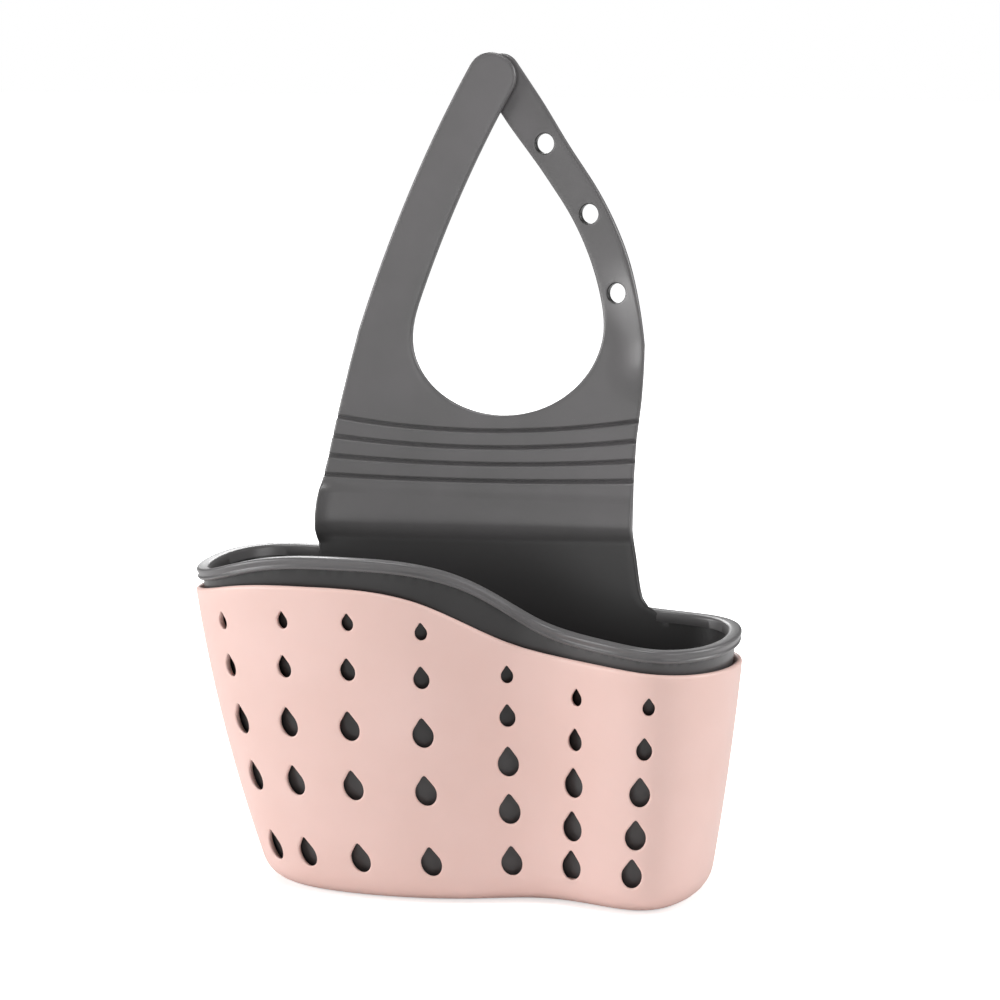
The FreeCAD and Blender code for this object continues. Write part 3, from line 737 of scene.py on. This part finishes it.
climb = np.concatenate([
    np.linspace(0, 1, 9)[:-1], np.linspace(1, 2, 14)[:-1], np.linspace(2, 2.97, 8), [2.99, 3.0]])[:, None]
panel_up = np.where(climb < 1, panel_low + climb * (approach - panel_low), np.where(
    climb < 2, approach + (climb - 1) * (turned - approach), turned + (climb - 2) * (PANEL_TOP - turned)))
panel_across = strap_left(panel_up) + spread * (strap_right(panel_up) - strap_left(panel_up))
panel_places, panel_heights = back_place(panel_across, panel_up, PANEL_MIDDLE)
panel_places[0], panel_heights[0] = panel_shares, panel_starts
edge_gap = np.minimum(panel_across - strap_left(panel_up), strap_right(panel_up) - panel_across)
half = soft_half(edge_gap, LINER_WALL)
half[0] = LINER_WALL / 2


def panel_faces(across, up, share, height, half):
    """Points of the panel's front and back faces at places on its middle."""
    swell, curl = band_swell(across, up)
    rise = half * math.sin(LEAN)
    deep = half / math.cos(LEAN)
    return (wall(share, height + rise, PANEL_MIDDLE + deep + swell + curl),
            wall(share, height - rise, PANEL_MIDDLE - deep + curl))


panel_front, panel_back = panel_faces(panel_across, panel_up, panel_places, panel_heights, half)
panel_front[0] = wall(panel_shares, panel_starts, NEST + LINER_WALL)
panel_back[0] = wall(panel_shares, panel_starts, NEST)
# Painted shade levels. The panel below the band is darkened to stand in for the shade inside the basket, and
# the darkening fades out just above the band's start.
TUB_PAINTED_SHADE = 0.86
DEEP_PAINTED_SHADE = 0.95
OUTSIDE_PAINTED_SHADE = 0.6
RIM_PAINTED_SHADE = 0.42
PAINTED_SHADE_EARLY = 1.2
PAINTED_SHADE_FADE = 5.0
painted_shade_end = smooth((panel_up - band_start(panel_across) + PAINTED_SHADE_EARLY) / PAINTED_SHADE_FADE)
panel_painted_shade = TUB_PAINTED_SHADE - TUB_PAINTED_SHADE * painted_shade_end
liner_patches = [patch(panel_front), patch(panel_back), patch(np.array([panel_front[-1], panel_back[-1]]))]
liner_patches += [patch(np.array([panel_front[:, end], panel_back[:, end]])) for end in (0, -1)]
liner_painted_shade = [panel_painted_shade, 0.0, 0.0, 0.0, 0.0]

RIM_COLUMNS = 190
around = np.linspace(panel_shares[0], panel_shares[-1] + 1, RIM_COLUMNS + 1)
liner_shares = np.concatenate([panel_shares[::-1], around[1:-1]])
liner_tops = np.concatenate([panel_starts[::-1], edge_height(around[1:-1], PANEL_MIDDLE, rim_edge) - SINK])
steps = np.linspace(0, 1, 22)[:, None]
OUTSIDE_RADIUS = 6.4
INSIDE_RADIUS = 4.2
# Painted shade on the tub's walls: the inside is darkened all over. The outside, seen through the shell's
# holes, is darkened more above about 40 mm than at the bottom, to stand in for the shade in the gap between
# liner and shell. Just under the bead the outside is painted lighter towards the right, as if lit from the
# right.
RIM_FADE = (8.0, 30.0)
DEEP_FADE = (38.0, 22.0)
BEAD_FADE = (4.0, 14.0)
for inset, floor, radius, low_painted_shade, rim_painted_shade in (
        (NEST, LINER_BOTTOM, OUTSIDE_RADIUS, OUTSIDE_PAINTED_SHADE, RIM_PAINTED_SHADE),
        (NEST + LINER_WALL, LINER_FLOOR, INSIDE_RADIUS, TUB_PAINTED_SHADE, TUB_PAINTED_SHADE)):
    low = round_start(liner_shares, floor, inset, radius)[0]
    rows = wall(liner_shares, low + steps * (liner_tops - low), inset)
    bend = rounding(liner_shares, floor, inset, radius)
    liner_patches += [patch(rows, closed=True), patch(bend, closed=True), pierced_floor(bend[-1], floor)]
    rightwards = smooth((rows[..., 0] - RIM_FADE[0]) / RIM_FADE[1])
    under_bead = TUB_PAINTED_SHADE + (rim_painted_shade - TUB_PAINTED_SHADE) * rightwards
    upwards = smooth((rows[..., 2] - DEEP_FADE[0]) / DEEP_FADE[1])
    deep = low_painted_shade + (DEEP_PAINTED_SHADE - low_painted_shade) * upwards
    share = smooth((liner_tops - rows[..., 2] - BEAD_FADE[0]) / BEAD_FADE[1])
    liner_painted_shade += [under_bead + share * (deep - under_bead), low_painted_shade, low_painted_shade]
liner_patches += drain_walls(LINER_BOTTOM, LINER_FLOOR)
open_tops = np.concatenate([panel_starts[:1], liner_tops[len(panel_shares):], panel_starts[-1:]])
liner_patches.append(patch(wall(around, open_tops, np.array([[NEST], [NEST + LINER_WALL]]))))

# The bead goes right round the rim; behind the panel it is a rib, sunk into the panel's back.
BEAD_COLUMNS = 300
FOOT_END = 54.6
LEFT_RAMP = 0.006
RIGHT_RAMP = 0.02
BEAD_PROUD = 0.12
BEAD_SUNK = 0.8
TOP_ROUND = 0.9
LOW_ROUND = 0.7
BEAD_FOOT = 0.3
BEAD_HOLLOW = ((0.05, -1.2), (0.22, -1.5), (0.34, -1.85), (0.34, -2.1), (0.22, -2.4), (0.05, -2.62))
bead_shares = np.linspace(0, 1, BEAD_COLUMNS, endpoint=False)
signed = np.where(bead_shares > 0.5, bead_shares - 1, bead_shares)
left_gap = (panel_shares[0] - signed) / LEFT_RAMP
right_gap = (signed - np.interp(FOOT_END, panel_feet, panel_shares)) / RIGHT_RAMP
behind = np.clip(np.minimum(left_gap, right_gap), 0, 1)
bead_inner = NEST + LINER_WALL + BEAD_PROUD - behind * BEAD_SUNK
bead_outer = NEST - BEAD_REACH
bead_profile = []
for turn in np.linspace(0, math.pi / 2, 5):
    bead_profile.append(("inner", -TOP_ROUND * (1 - math.cos(turn)), -TOP_ROUND * (1 - math.sin(turn))))
for turn in np.linspace(0, math.pi / 2, 6):
    bead_profile.append(("outer", TOP_ROUND * (1 - math.sin(turn)), -TOP_ROUND * (1 - math.cos(turn))))
bead_profile += [("outer", hollow, drop) for hollow, drop in BEAD_HOLLOW]
for turn in np.linspace(0, math.pi / 2, 4):
    low = -BEAD_HEIGHT + LOW_ROUND * (1 - math.sin(turn))
    bead_profile.append(("outer", LOW_ROUND * (1 - math.cos(turn)), low))
bead_profile.append(("inner", -BEAD_FOOT, -BEAD_HEIGHT))
bead_profile.append(("inner", 0.0, -BEAD_HEIGHT + BEAD_FOOT))
rim_heights = edge_height(bead_shares, NEST, rim_edge)
bead_rows = []
for side, shift, drop in bead_profile:
    inset = (bead_inner if side == "inner" else bead_outer) + shift
    bead_rows.append(wall(bead_shares, rim_heights + drop, inset))
bead_rows.append(bead_rows[0])
# The drain bores and the open top get the full painted shade, and the bead gets none.
liner_painted_shade += [1.0] * (len(liner_patches) - len(liner_painted_shade))
liner_patches.append(patch(np.array(bead_rows), closed=True))
liner_painted_shade.append(0.0)

liner = welded("soft_liner", liner_patches, liner_painted_shade)
liner.data.materials.append(elastomer)
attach(liner, "liner")
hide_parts("inner_liner")

# Neck: four smile-shaped grooves across the strap leave a thin web at the back, so that the
# soft strap folds there. Each piece crosses one groove.
STRAP_THICKNESS = 2.2
GROOVE_FIRST = 112.3
GROOVE_PITCH = 5.8
GROOVE_SAG = 0.9
GROOVE_DEPTH = 1.25
GROOVE_HALF = 0.95
GROOVE_TILT = 0.8
GROOVE_REACH = 1.6
GROOVES = 4
SEAM_STEP = 0.1
WEB_LEAST = 0.2
EASE_END = 1.0
ARM_ROOT = 152.0


def strap_point(across, through, up):
    """A point of the strap: across it, behind its back face and up it, in millimetres."""
    across, through, up = np.broadcast_arrays(across, through, up)
    y = STRAP_BACK + through * math.cos(LEAN) + up * math.sin(LEAN)
    return np.stack([across + STRAP_OFFSET, y, up * math.cos(LEAN) - through * math.sin(LEAN)], axis=-1)


def smile(line, spread):
    """Height of a line across the strap that sags in the middle, as the grooves do."""
    sag = GROOVE_SAG * (1 + (line - GROOVE_FIRST) / GROOVE_PITCH)
    tilt = GROOVE_TILT * np.clip((line - PANEL_TOP) / (GROOVE_FIRST - PANEL_TOP), 0, 1)
    return line - sag * (1 - (2 * spread - 1) ** 2) + tilt * (2 * spread - 1)


NECK_WIDTH = 92.0
NECK_COLUMNS = 44
neck_spread = across_steps(NECK_WIDTH, NECK_COLUMNS) / NECK_WIDTH
groove_steps = np.array((-GROOVE_REACH, -1.25, -0.95, -0.75, -0.6, -0.45, -0.3, -0.15, 0.0))
groove_steps = np.concatenate([groove_steps, -groove_steps[-2::-1]])
neck_lines = [PANEL_TOP] + [GROOVE_FIRST + GROOVE_PITCH * (number + 0.5) for number in range(GROOVES)]
neck_bends = [(110.4, 113.4), (115.9, 118.4), (121.7, 123.4), (127.2, 128.4)]
for number in range(GROOVES):
    centre = GROOVE_FIRST + GROOVE_PITCH * number
    first, last = neck_lines[number], neck_lines[number + 1]
    below = np.concatenate([
        [first, first + SEAM_STEP], np.linspace(first, centre - GROOVE_REACH, 6)[1:-1]])
    beyond = np.linspace(centre + GROOVE_REACH, last, 4)[1:]
    lines = np.concatenate([below, centre + groove_steps, beyond])
    up = smile(lines[:, None], neck_spread[None, :])
    across = strap_left(up) + neck_spread * (strap_right(up) - strap_left(up))
    half = soft_half(np.minimum(across - strap_left(up), strap_right(up) - across), STRAP_THICKNESS)
    reach = np.clip(np.abs(lines - centre) / GROOVE_HALF, 0, 1)[:, None]
    groove = GROOVE_DEPTH * np.cos(reach * math.pi / 2) ** 2
    middle = -STRAP_THICKNESS / 2
    front = strap_point(across, np.minimum(middle - half + groove, middle + half - WEB_LEAST), up)
    back = strap_point(across, middle + half, up)
    if number == 0:
        ease = smooth((lines - first) / (centre - EASE_END - first))[:, None, None]
        bowed = panel_faces(across, up, *back_place(across, up, PANEL_MIDDLE), half)
        front = bowed[0] + ease * (front - bowed[0])
        back = bowed[1] + ease * (back - bowed[1])
    neck = welded(f"neck_web_{number + 1}", plate(front, back))
    neck.data.materials.append(elastomer)
    start, end = (strap_point(0.0, 0.0, place) * MM for place in neck_bends[number])
    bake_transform(neck)
    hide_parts(["hinge_rib_1", "hinge_rib_2", "hinge_rib_3", "strap_yoke"][number])

# Arms: the strap splits round the tap loop into two arms. The left one ends in a stud on its
# back, which buttons into one of the right one's four holes; each arm bends at its root.
LOOP_BOTTOM = 130.9
LOOP_MIDDLE = 5.3
BUTTON_RADIUS = 2.85
BUTTON_PITCH = 24.4
BUTTON_LIP = 0.35
BUTTONS = 4
TIP_GAP = 0.4
ARM_CROSS = 64.0
TILT = math.atan2((STRAP_THICKNESS + TIP_GAP) / 2, ARM_CROSS)
TIP_SQUARENESS = 2.15
TIP_REACH = 0.985
PAD_START = 32.0
PAD_RISE = 20.0
SHOULDER_LENGTH = 45.0
LOOP_TURN = 0.62
ROW_PITCH = 2.2
TWIST_START = 18.0
TWIST_STOP = 10.0
TWIST_END = 22.0
LEAN_EASE = 6.0
ROLL_WIDTH = 12.5
ROLL_LOW = 18.0
ROLL_RISE = 14.0
ROLL_HIGH = 30.0
ROLL_FALL = 26.0
ARM_BEND = (147.0, 176.0)
ARMS = {
    "left": {
        "side": -1, "root": 31.1, "width": 14.6, "radius": 373.0, "lean": 16.0, "turn": 12.725, "onward": 0.0,
        "web": 2.6, "web_length": 15.9, "shoulder": 0.45, "pad": 0.0, "twist": 0.0, "roll": 0.0,
        "loop_height": 22.4},
    "right": {
        "side": 1, "root": 41.6, "width": 10.9, "radius": 87.6, "lean": 3.6, "turn": 32.3, "onward": 39.2,
        "web": 1.55, "web_length": 13.8, "shoulder": 1.2, "pad": 0.6, "twist": 13.0, "roll": -2.9,
        "loop_height": 26.9},
}


def arm_length(arm):
    return arm["radius"] * math.radians(arm["turn"]) + arm["onward"]


def arm_point(arm, along, aside):
    """A place on an arm, across and up the strap: along its middle line and aside, outwards."""
    lean, turn, radius = math.radians(arm["lean"]), math.radians(arm["turn"]), arm["radius"]
    heading = lean + np.clip(along / radius, 0, turn)
    beyond = np.clip(along - radius * turn, 0, None)
    outwards = (radius + aside) * np.cos(heading) - radius * math.cos(lean) - beyond * np.sin(heading)
    up = (radius + aside) * np.sin(heading) - radius * math.sin(lean) + beyond * np.cos(heading)
    return np.stack([arm["side"] * (arm["root"] + outwards), ARM_ROOT + up], axis=-1)


def arm_place(arm, places):
    """The reverse: how far along and aside places on an arm are."""
    lean, turn, radius = math.radians(arm["lean"]), math.radians(arm["turn"]), arm["radius"]
    outwards = arm["side"] * places[..., 0] - arm["root"] + radius * math.cos(lean)
    up = places[..., 1] - ARM_ROOT + radius * math.sin(lean)
    end = lean + turn
    heading = np.arctan2(up, outwards)
    past = heading > end
    straight = radius * turn + up * math.cos(end) - outwards * math.sin(end)
    along = np.where(past, straight, radius * (heading - lean))
    aside = np.where(past, outwards * math.cos(end) + up * math.sin(end), np.hypot(outwards, up)) - radius
    return along, aside


def half_width(arm, along):
    """Half the arm's width, which grows to a pad round the last hole."""
    return arm["width"] / 2 + arm["pad"] * smooth((along - arm_length(arm) + PAD_START) / PAD_RISE)


def outer_aside(arm, along):
    return half_width(arm, along) + arm["shoulder"] * np.clip(1 - along / SHOULDER_LENGTH, 0, 1) ** 2


def inner_aside(arm, along):
    return -half_width(arm, along) - arm["web"] * np.clip(1 - along / arm["web_length"], 0, 1) ** 3


def resample(path, places):
    """Places along a path, as shares of its length."""
    run = np.concatenate([[0], np.cumsum(np.linalg.norm(np.diff(path, axis=0), axis=1))])
    run /= run[-1]
    return np.column_stack([np.interp(places, run, path[:, axis]) for axis in range(2)])


def edge_distance(places, path):
    """Distance of each place to a path of straight pieces."""
    flat = places.reshape(-1, 1, 2)
    start, way = path[None, :-1], np.diff(path, axis=0)[None]
    share = np.clip(((flat - start) * way).sum(-1) / np.maximum((way ** 2).sum(-1), 1e-12), 0, 1)
    gap = np.linalg.norm(flat - start - share[..., None] * way, axis=-1).min(axis=1)
    return gap.reshape(places.shape[:-1])


def yoke_half(arm):
    """Rows that fan from the neck's seam and the strap's side to the loop's edge, and both edges."""
    side = arm["side"]
    seam_spread = np.linspace(0, 1, 161)
    seam_up = smile(neck_lines[-1], seam_spread)
    seam_across = strap_left(seam_up) + seam_spread * (strap_right(seam_up) - strap_left(seam_up))
    seam_end = seam_across[0 if side < 0 else -1]
    seam_x = np.linspace(LOOP_MIDDLE, seam_end, 60)
    seam = np.column_stack([seam_x, np.interp(seam_x, seam_across, seam_up)])
    side_up = np.linspace(seam[-1, 1], ARM_ROOT - 1.0, 20)
    flank = np.column_stack([strap_left(side_up) if side < 0 else strap_right(side_up), side_up])
    flank = np.concatenate([flank, [arm_point(arm, 0.0, outer_aside(arm, 0.0))]])
    root = arm_point(arm, 0.0, inner_aside(arm, 0.0))
    sweep = np.linspace(0, math.acos(1 - (root[1] - LOOP_BOTTOM) / arm["loop_height"]), 48)
    loop = np.column_stack([LOOP_MIDDLE + (root[0] - LOOP_MIDDLE) * np.sin(sweep) / math.sin(sweep[-1]),
                            LOOP_BOTTOM + arm["loop_height"] * (1 - np.cos(sweep))])
    length = np.linalg.norm(np.diff(seam, axis=0), axis=1).sum()
    stops = np.concatenate([np.linspace(0, 1 - EDGE_SOFT / length, 17), 1 - EDGE_STEPS[-2::-1] / length])
    outer = np.concatenate([resample(seam, stops)[:-1], resample(flank, np.linspace(0, 1, 15))])
    inner = resample(loop, np.concatenate([stops[:-1] * LOOP_TURN, np.linspace(LOOP_TURN, 1, 15)]))
    rows = []
    for first, second in zip(outer, inner):
        length = np.linalg.norm(second - first)
        rows.append(first + (across_steps(length, CELL_SIDE) / length)[:, None] * (second - first))
    return np.array(rows), flank, loop


def tip_outline(arm, inset):
    """Places along and aside round the arm's squarish end, from its inner to its outer side."""
    tip = arm_length(arm)
    cell = half_width(arm, tip) - EDGE_SOFT
    reach = half_width(arm, tip) - inset
    run = np.linspace(0, 2 + math.pi, 3 * CELL_SIDE + 1)
    bend = np.clip(run - 1, 0, math.pi)
    start = -cell * np.clip(np.maximum(1 - run, run - 1 - math.pi), 0, None)
    power = 2 / TIP_SQUARENESS
    aside = -reach * np.sign(np.cos(bend)) * np.abs(np.cos(bend)) ** power
    return np.column_stack([tip + start + TIP_REACH * reach * np.sin(bend) ** power, aside])


def arm_strap(name, arm):
    """One half of the yoke with its arm, as a single smooth strip of even thickness."""
    tip = arm_length(arm)
    cell = half_width(arm, tip) - EDGE_SOFT
    yoke, flank, loop = yoke_half(arm)
    buttons = BUTTONS if arm["side"] > 0 else 0
    holes = [tip - BUTTON_PITCH * number for number in reversed(range(buttons))]
    reach = arm["width"] / 2 - EDGE_SOFT
    stops = [0.0] + [hole + end * reach for hole in holes[:-1] for end in (-1, 1)] + [tip - cell]
    grids = [yoke]
    tiles = []
    edges = [yoke[:, 0], yoke[:, -1], yoke[0]]
    bunch = len(EDGE_STEPS)
    for number, (start, stop) in enumerate(zip(stops, stops[1:])):
        holed = number % 2 == 1
        rows = CELL_SIDE if holed else max(2, round((stop - start) / ROW_PITCH))
        along = np.linspace(start, stop, rows + 1)
        widths = outer_aside(arm, along) - inner_aside(arm, along)
        asides = np.array([
            outer_aside(arm, place) - across_steps(width, CELL_SIDE) for place, width in zip(along, widths)])
        places = np.stack(np.broadcast_arrays(along[:, None], asides), axis=-1)
        strip = arm_point(arm, places[..., 0], places[..., 1])
        edges += [strip[:, 0], strip[:, -1]]
        if holed:
            grids += [strip[:, :bunch], strip[:, -bunch:]]
            block = places[:, bunch - 1:1 - bunch]
            border = np.concatenate([block[:-1, 0], block[-1, :-1], block[:0:-1, -1], block[0, :0:-1]])
            tiles.append(((start + stop) / 2, border))
        else:
            grids.append(strip)
    outlines = np.array([tip_outline(arm, inset) for inset in EDGE_STEPS])
    end = arm_point(arm, outlines[..., 0], outlines[..., 1])
    grids.append(end)
    edges.append(end[0])
    low_side = np.column_stack([np.full(CELL_SIDE, tip - cell), cell - 2 * cell * side_shares[:-1]])
    tiles.append((tip, np.concatenate([low_side, outlines[-1][:-1]])))

    run = np.linspace(0, tip, 140)
    free_edge = np.concatenate([
        flank, arm_point(arm, run, outer_aside(arm, run)), end[0][::-1],
        arm_point(arm, run[::-1], inner_aside(arm, run[::-1])), loop[::-1]])

    def twist(along):
        """How much the arm turns about its length: not at its root, nor at its buttoned end."""
        share = smooth(along / TWIST_START) * smooth((tip - TWIST_STOP - along) / TWIST_END)
        return math.tan(math.radians(arm["twist"])) * share

    def behind(places):
        """How far the arm's middle lies behind the strap's back: it leans, rolls and twists a little."""
        rise = places[..., 1] - ARM_ROOT
        lean = np.clip(rise + LEAN_EASE, 0, None) ** 2 / (4 * LEAN_EASE)
        lean = np.where(rise > LEAN_EASE, rise, lean)
        along, aside = arm_place(arm, places)
        outside = np.concatenate([flank[:-1], arm_point(arm, run, outer_aside(arm, run))])
        gap = np.abs(np.interp(places[..., 1], outside[:, 1], outside[:, 0]) - places[..., 0])
        roll = smooth((rise + ROLL_LOW) / ROLL_RISE) * smooth((ROLL_HIGH - rise) / ROLL_FALL)
        roll = roll * np.clip(1 - gap / ROLL_WIDTH, 0, 1) ** 2
        bend = arm["side"] * math.tan(TILT) * lean + arm["roll"] * roll
        return bend - twist(along) * aside - STRAP_THICKNESS / 2

    def beneath(places, depth):
        """Points at a depth behind the arm's middle, square to its twisted face."""
        along, aside = arm_place(arm, places)
        moved = places + arm_point(arm, along, aside + twist(along) * depth) - arm_point(arm, along, aside)
        return strap_point(moved[..., 0], behind(places) + depth, moved[..., 1])

    def sheet(places, face):
        """Points of the front (-1) or back (1) face above places across and up the strap."""
        return beneath(places, face * soft_half(edge_distance(places, free_edge), STRAP_THICKNESS))

    patches = []
    bores = []
    bore_painted_shade = []
    for centre, border in tiles:
        turns = np.arctan2(border[:, 1], border[:, 0] - centre)
        ways = np.column_stack([np.cos(turns), np.sin(turns)])
        rim = (centre, 0.0) + (BUTTON_RADIUS + BUTTON_LIP) * ways
        rings = np.array([rim + (border - rim) * step for step in (0.0, 0.3, 0.65, 1.0)])
        rings = np.concatenate([rings, rings[:, :1]], axis=1)
        grids.append(arm_point(arm, rings[..., 0], rings[..., 1]))
        if not holes:
            places = arm_point(arm, rim[:, 0], rim[:, 1])
            patches += [(sheet(places, face), [tuple(range(len(places)))]) for face in (-1, 1)]
            continue
        bore = []
        for face in (-1, 1):
            for turn in np.linspace(0, math.pi / 2, 5)[::face]:
                ring = (centre, 0.0) + (BUTTON_RADIUS + BUTTON_LIP * (1 - math.cos(turn))) * ways
                places = arm_point(arm, ring[:, 0], ring[:, 1])
                depth = face * (STRAP_THICKNESS / 2 - BUTTON_LIP * (1 - math.sin(turn)))
                bore.append(beneath(places, np.full(len(places), depth)))
        bores.append(patch(np.array(bore), closed=True))
        # Painted shade: each button hole's bore is darkened inside and left plain at its two rims, and the
        # arm's faces get none.
        bore_painted_shade.append(np.repeat([0.0] + [1.0] * (len(bore) - 2) + [0.0], len(ways)))
    for grid in grids:
        patches += [patch(sheet(grid, face)) for face in (-1, 1)]
    for edge in edges:
        patches.append(patch(np.array([sheet(edge, -1), sheet(edge, 1)])))
    return welded(f"{name}_arm_strap", patches + bores, [0.0] * len(patches) + bore_painted_shade)


for name, arm in ARMS.items():
    piece = arm_strap(name, arm)
    piece.data.materials.append(elastomer)
    start, end = (strap_point(0.0, 0.0, place) * MM for place in ARM_BEND)
    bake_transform(piece)
    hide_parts(f"{name}_arm")

# Stud: a mushroom button moulded on the back of the left arm's end, pushed through a hole.
STUD_NECK = 2.1
STUD_HEAD = 2.45
STUD_START = 1.6
STUD_LENGTH = 5.4
STUD_END = 7.0
stud_profile = [
    (0.0, STUD_START), (STUD_NECK + 0.5, STUD_START), (STUD_NECK + 0.5, 2.2), (STUD_NECK + 0.15, 2.35),
    (STUD_NECK, 2.6), (STUD_NECK, STUD_LENGTH - 0.1), (STUD_HEAD - 0.15, STUD_LENGTH),
    (STUD_HEAD, STUD_LENGTH + 0.2), (STUD_HEAD, STUD_END - 0.9), (STUD_HEAD - 0.35, STUD_END - 0.35),
    (STUD_HEAD - 1.0, STUD_END - 0.06), (0.0, STUD_END)]
right_arm = ARMS["right"]
stud_across, stud_up = arm_point(right_arm, np.array(arm_length(right_arm)), 0.0)
stud_lean = LEAN - TILT
stud_root = strap_point(stud_across, -STRAP_THICKNESS - math.tan(TILT) * (stud_up - ARM_ROOT), stud_up)
turns = np.linspace(0, 2 * math.pi, 32, endpoint=False)
stud_rows = []
for radius, through in stud_profile:
    across = radius * np.cos(turns)
    up = radius * np.sin(turns)
    stud_rows.append(stud_root + np.column_stack([
        across, through * math.cos(stud_lean) + up * math.sin(stud_lean),
        up * math.cos(stud_lean) - through * math.sin(stud_lean)]))
stud = welded("button_stud", [patch(np.array(stud_rows), closed=True)])
stud.data.materials.append(elastomer)
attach(stud, "left_arm")

# Stage: a plain white floor, which glows more away from the object, and six softboxes: the
# strongest low on the left, weaker ones at the front and right, two behind and one above.
floor_mesh = bpy.data.meshes.new("floor")
floor_mesh.from_pydata([(-6, -6, 0), (6, -6, 0), (6, 6, 0), (-6, 6, 0)], [], [(0, 1, 2, 3)])
floor = bpy.data.objects.new("floor", floor_mesh)
bpy.context.scene.collection.objects.link(floor)


def seen_directly(tree):
    """1 for rays from the camera or through something clear, 0 for the rest."""
    sight = add_node(tree, "ShaderNodeLightPath")
    seen = add_node(tree, "ShaderNodeMath", operation="MAXIMUM")
    tree.links.new(sight.outputs["Is Camera Ray"], seen.inputs[0])
    tree.links.new(sight.outputs["Is Transmission Ray"], seen.inputs[1])
    return seen.outputs["Value"]


paper = bpy.data.materials.new("white_paper")
paper.use_nodes = True
tree = paper.node_tree
tree.nodes.remove(tree.nodes["Principled BSDF"])
seen = seen_directly(tree)
where = add_node(tree, "ShaderNodeTexCoord")
away = add_node(tree, "ShaderNodeVectorMath", {0: where.outputs["Object"]}, operation="LENGTH")
fade = add_node(tree, "ShaderNodeMapRange", {
    "Value": away.outputs["Value"], "From Min": 0.12, "From Max": 0.45, "To Min": 0.55, "To Max": 1.0},
    interpolation_type="SMOOTHSTEP")
lift = add_node(tree, "ShaderNodeMath", {0: seen, 1: fade.outputs["Result"]}, operation="MULTIPLY")
matt = add_node(tree, "ShaderNodeBsdfDiffuse", {"Color": srgb("#ececec")})
glow = add_node(tree, "ShaderNodeEmission", {"Color": srgb("#ffffff"), "Strength": lift.outputs["Value"]})
both = add_node(tree, "ShaderNodeAddShader")
tree.links.new(matt.outputs["BSDF"], both.inputs[0])
tree.links.new(glow.outputs["Emission"], both.inputs[1])
tree.links.new(both.outputs["Shader"], tree.nodes["Material Output"].inputs["Surface"])
floor_mesh.materials.append(paper)

world = bpy.context.scene.world or bpy.data.worlds.new("studio")
bpy.context.scene.world = world
world.use_nodes = True
tree = world.node_tree
level = add_node(tree, "ShaderNodeMapRange", {"Value": seen_directly(tree), "To Min": 0.06, "To Max": 1.0})
tree.links.new(level.outputs["Result"], tree.nodes["Background"].inputs["Strength"])
tree.nodes["Background"].inputs["Color"].default_value = (1.0, 1.0, 1.0, 1.0)
LAMP_AIM = np.array((0, 0, 0.1))


def softbox(name, place, width, height, power):
    """A rectangular lamp aimed at the object."""
    lamp = bpy.data.lights.new(name, "AREA")
    lamp.shape = "RECTANGLE"
    lamp.size = width
    lamp.size_y = height
    lamp.energy = power
    box = bpy.data.objects.new(name, lamp)
    bpy.context.scene.collection.objects.link(box)
    direction = LAMP_AIM - np.array(place)
    yaw = math.atan2(-direction[0], direction[1])
    pitch = math.atan2(direction[2], math.hypot(direction[0], direction[1]))
    box.location = place
    box.rotation_euler = (math.pi / 2 + pitch, 0, yaw)


softbox("left_softbox", (-1.18, -0.48, 0.37), 0.9, 0.6, 13.2)
softbox("front_softbox", (-0.09, -1.28, 0.28), 0.6, 0.6, 2.3)
softbox("right_softbox", (1.10, -0.63, 0.39), 0.6, 0.7, 5.2)
softbox("back_softbox", (1.07, 0.50, 0.65), 0.6, 0.6, 8.0)
softbox("rear_softbox", (-0.49, 1.04, 0.71), 0.6, 0.6, 8.0)
softbox("top_softbox", (0.00, -0.27, 1.37), 0.6, 0.6, 8.8)

# Camera: where the photograph was taken from, to the right of the front and a little above.
camera_data = bpy.data.cameras.new("camera")
camera_data.sensor_width = 36.0
camera_data.lens = 119.2
camera = bpy.data.objects.new("camera", camera_data)
bpy.context.scene.collection.objects.link(camera)
VIEW_YAW = math.radians(15.0)
VIEW_RISE = math.radians(9.0)
VIEW_AIM = np.array((14.5, -30.0, 116.0)) * MM
VIEW_DISTANCE = 0.9
level_way = np.array((math.sin(VIEW_YAW), -math.cos(VIEW_YAW), 0.0))
away = level_way * math.cos(VIEW_RISE) + np.array((0.0, 0.0, math.sin(VIEW_RISE)))
camera.location = VIEW_AIM + VIEW_DISTANCE * away
camera.rotation_euler = (math.pi / 2 - VIEW_RISE, 0, VIEW_YAW)
bpy.context.scene.camera = camera
bpy.context.scene.view_settings.view_transform = "Standard"
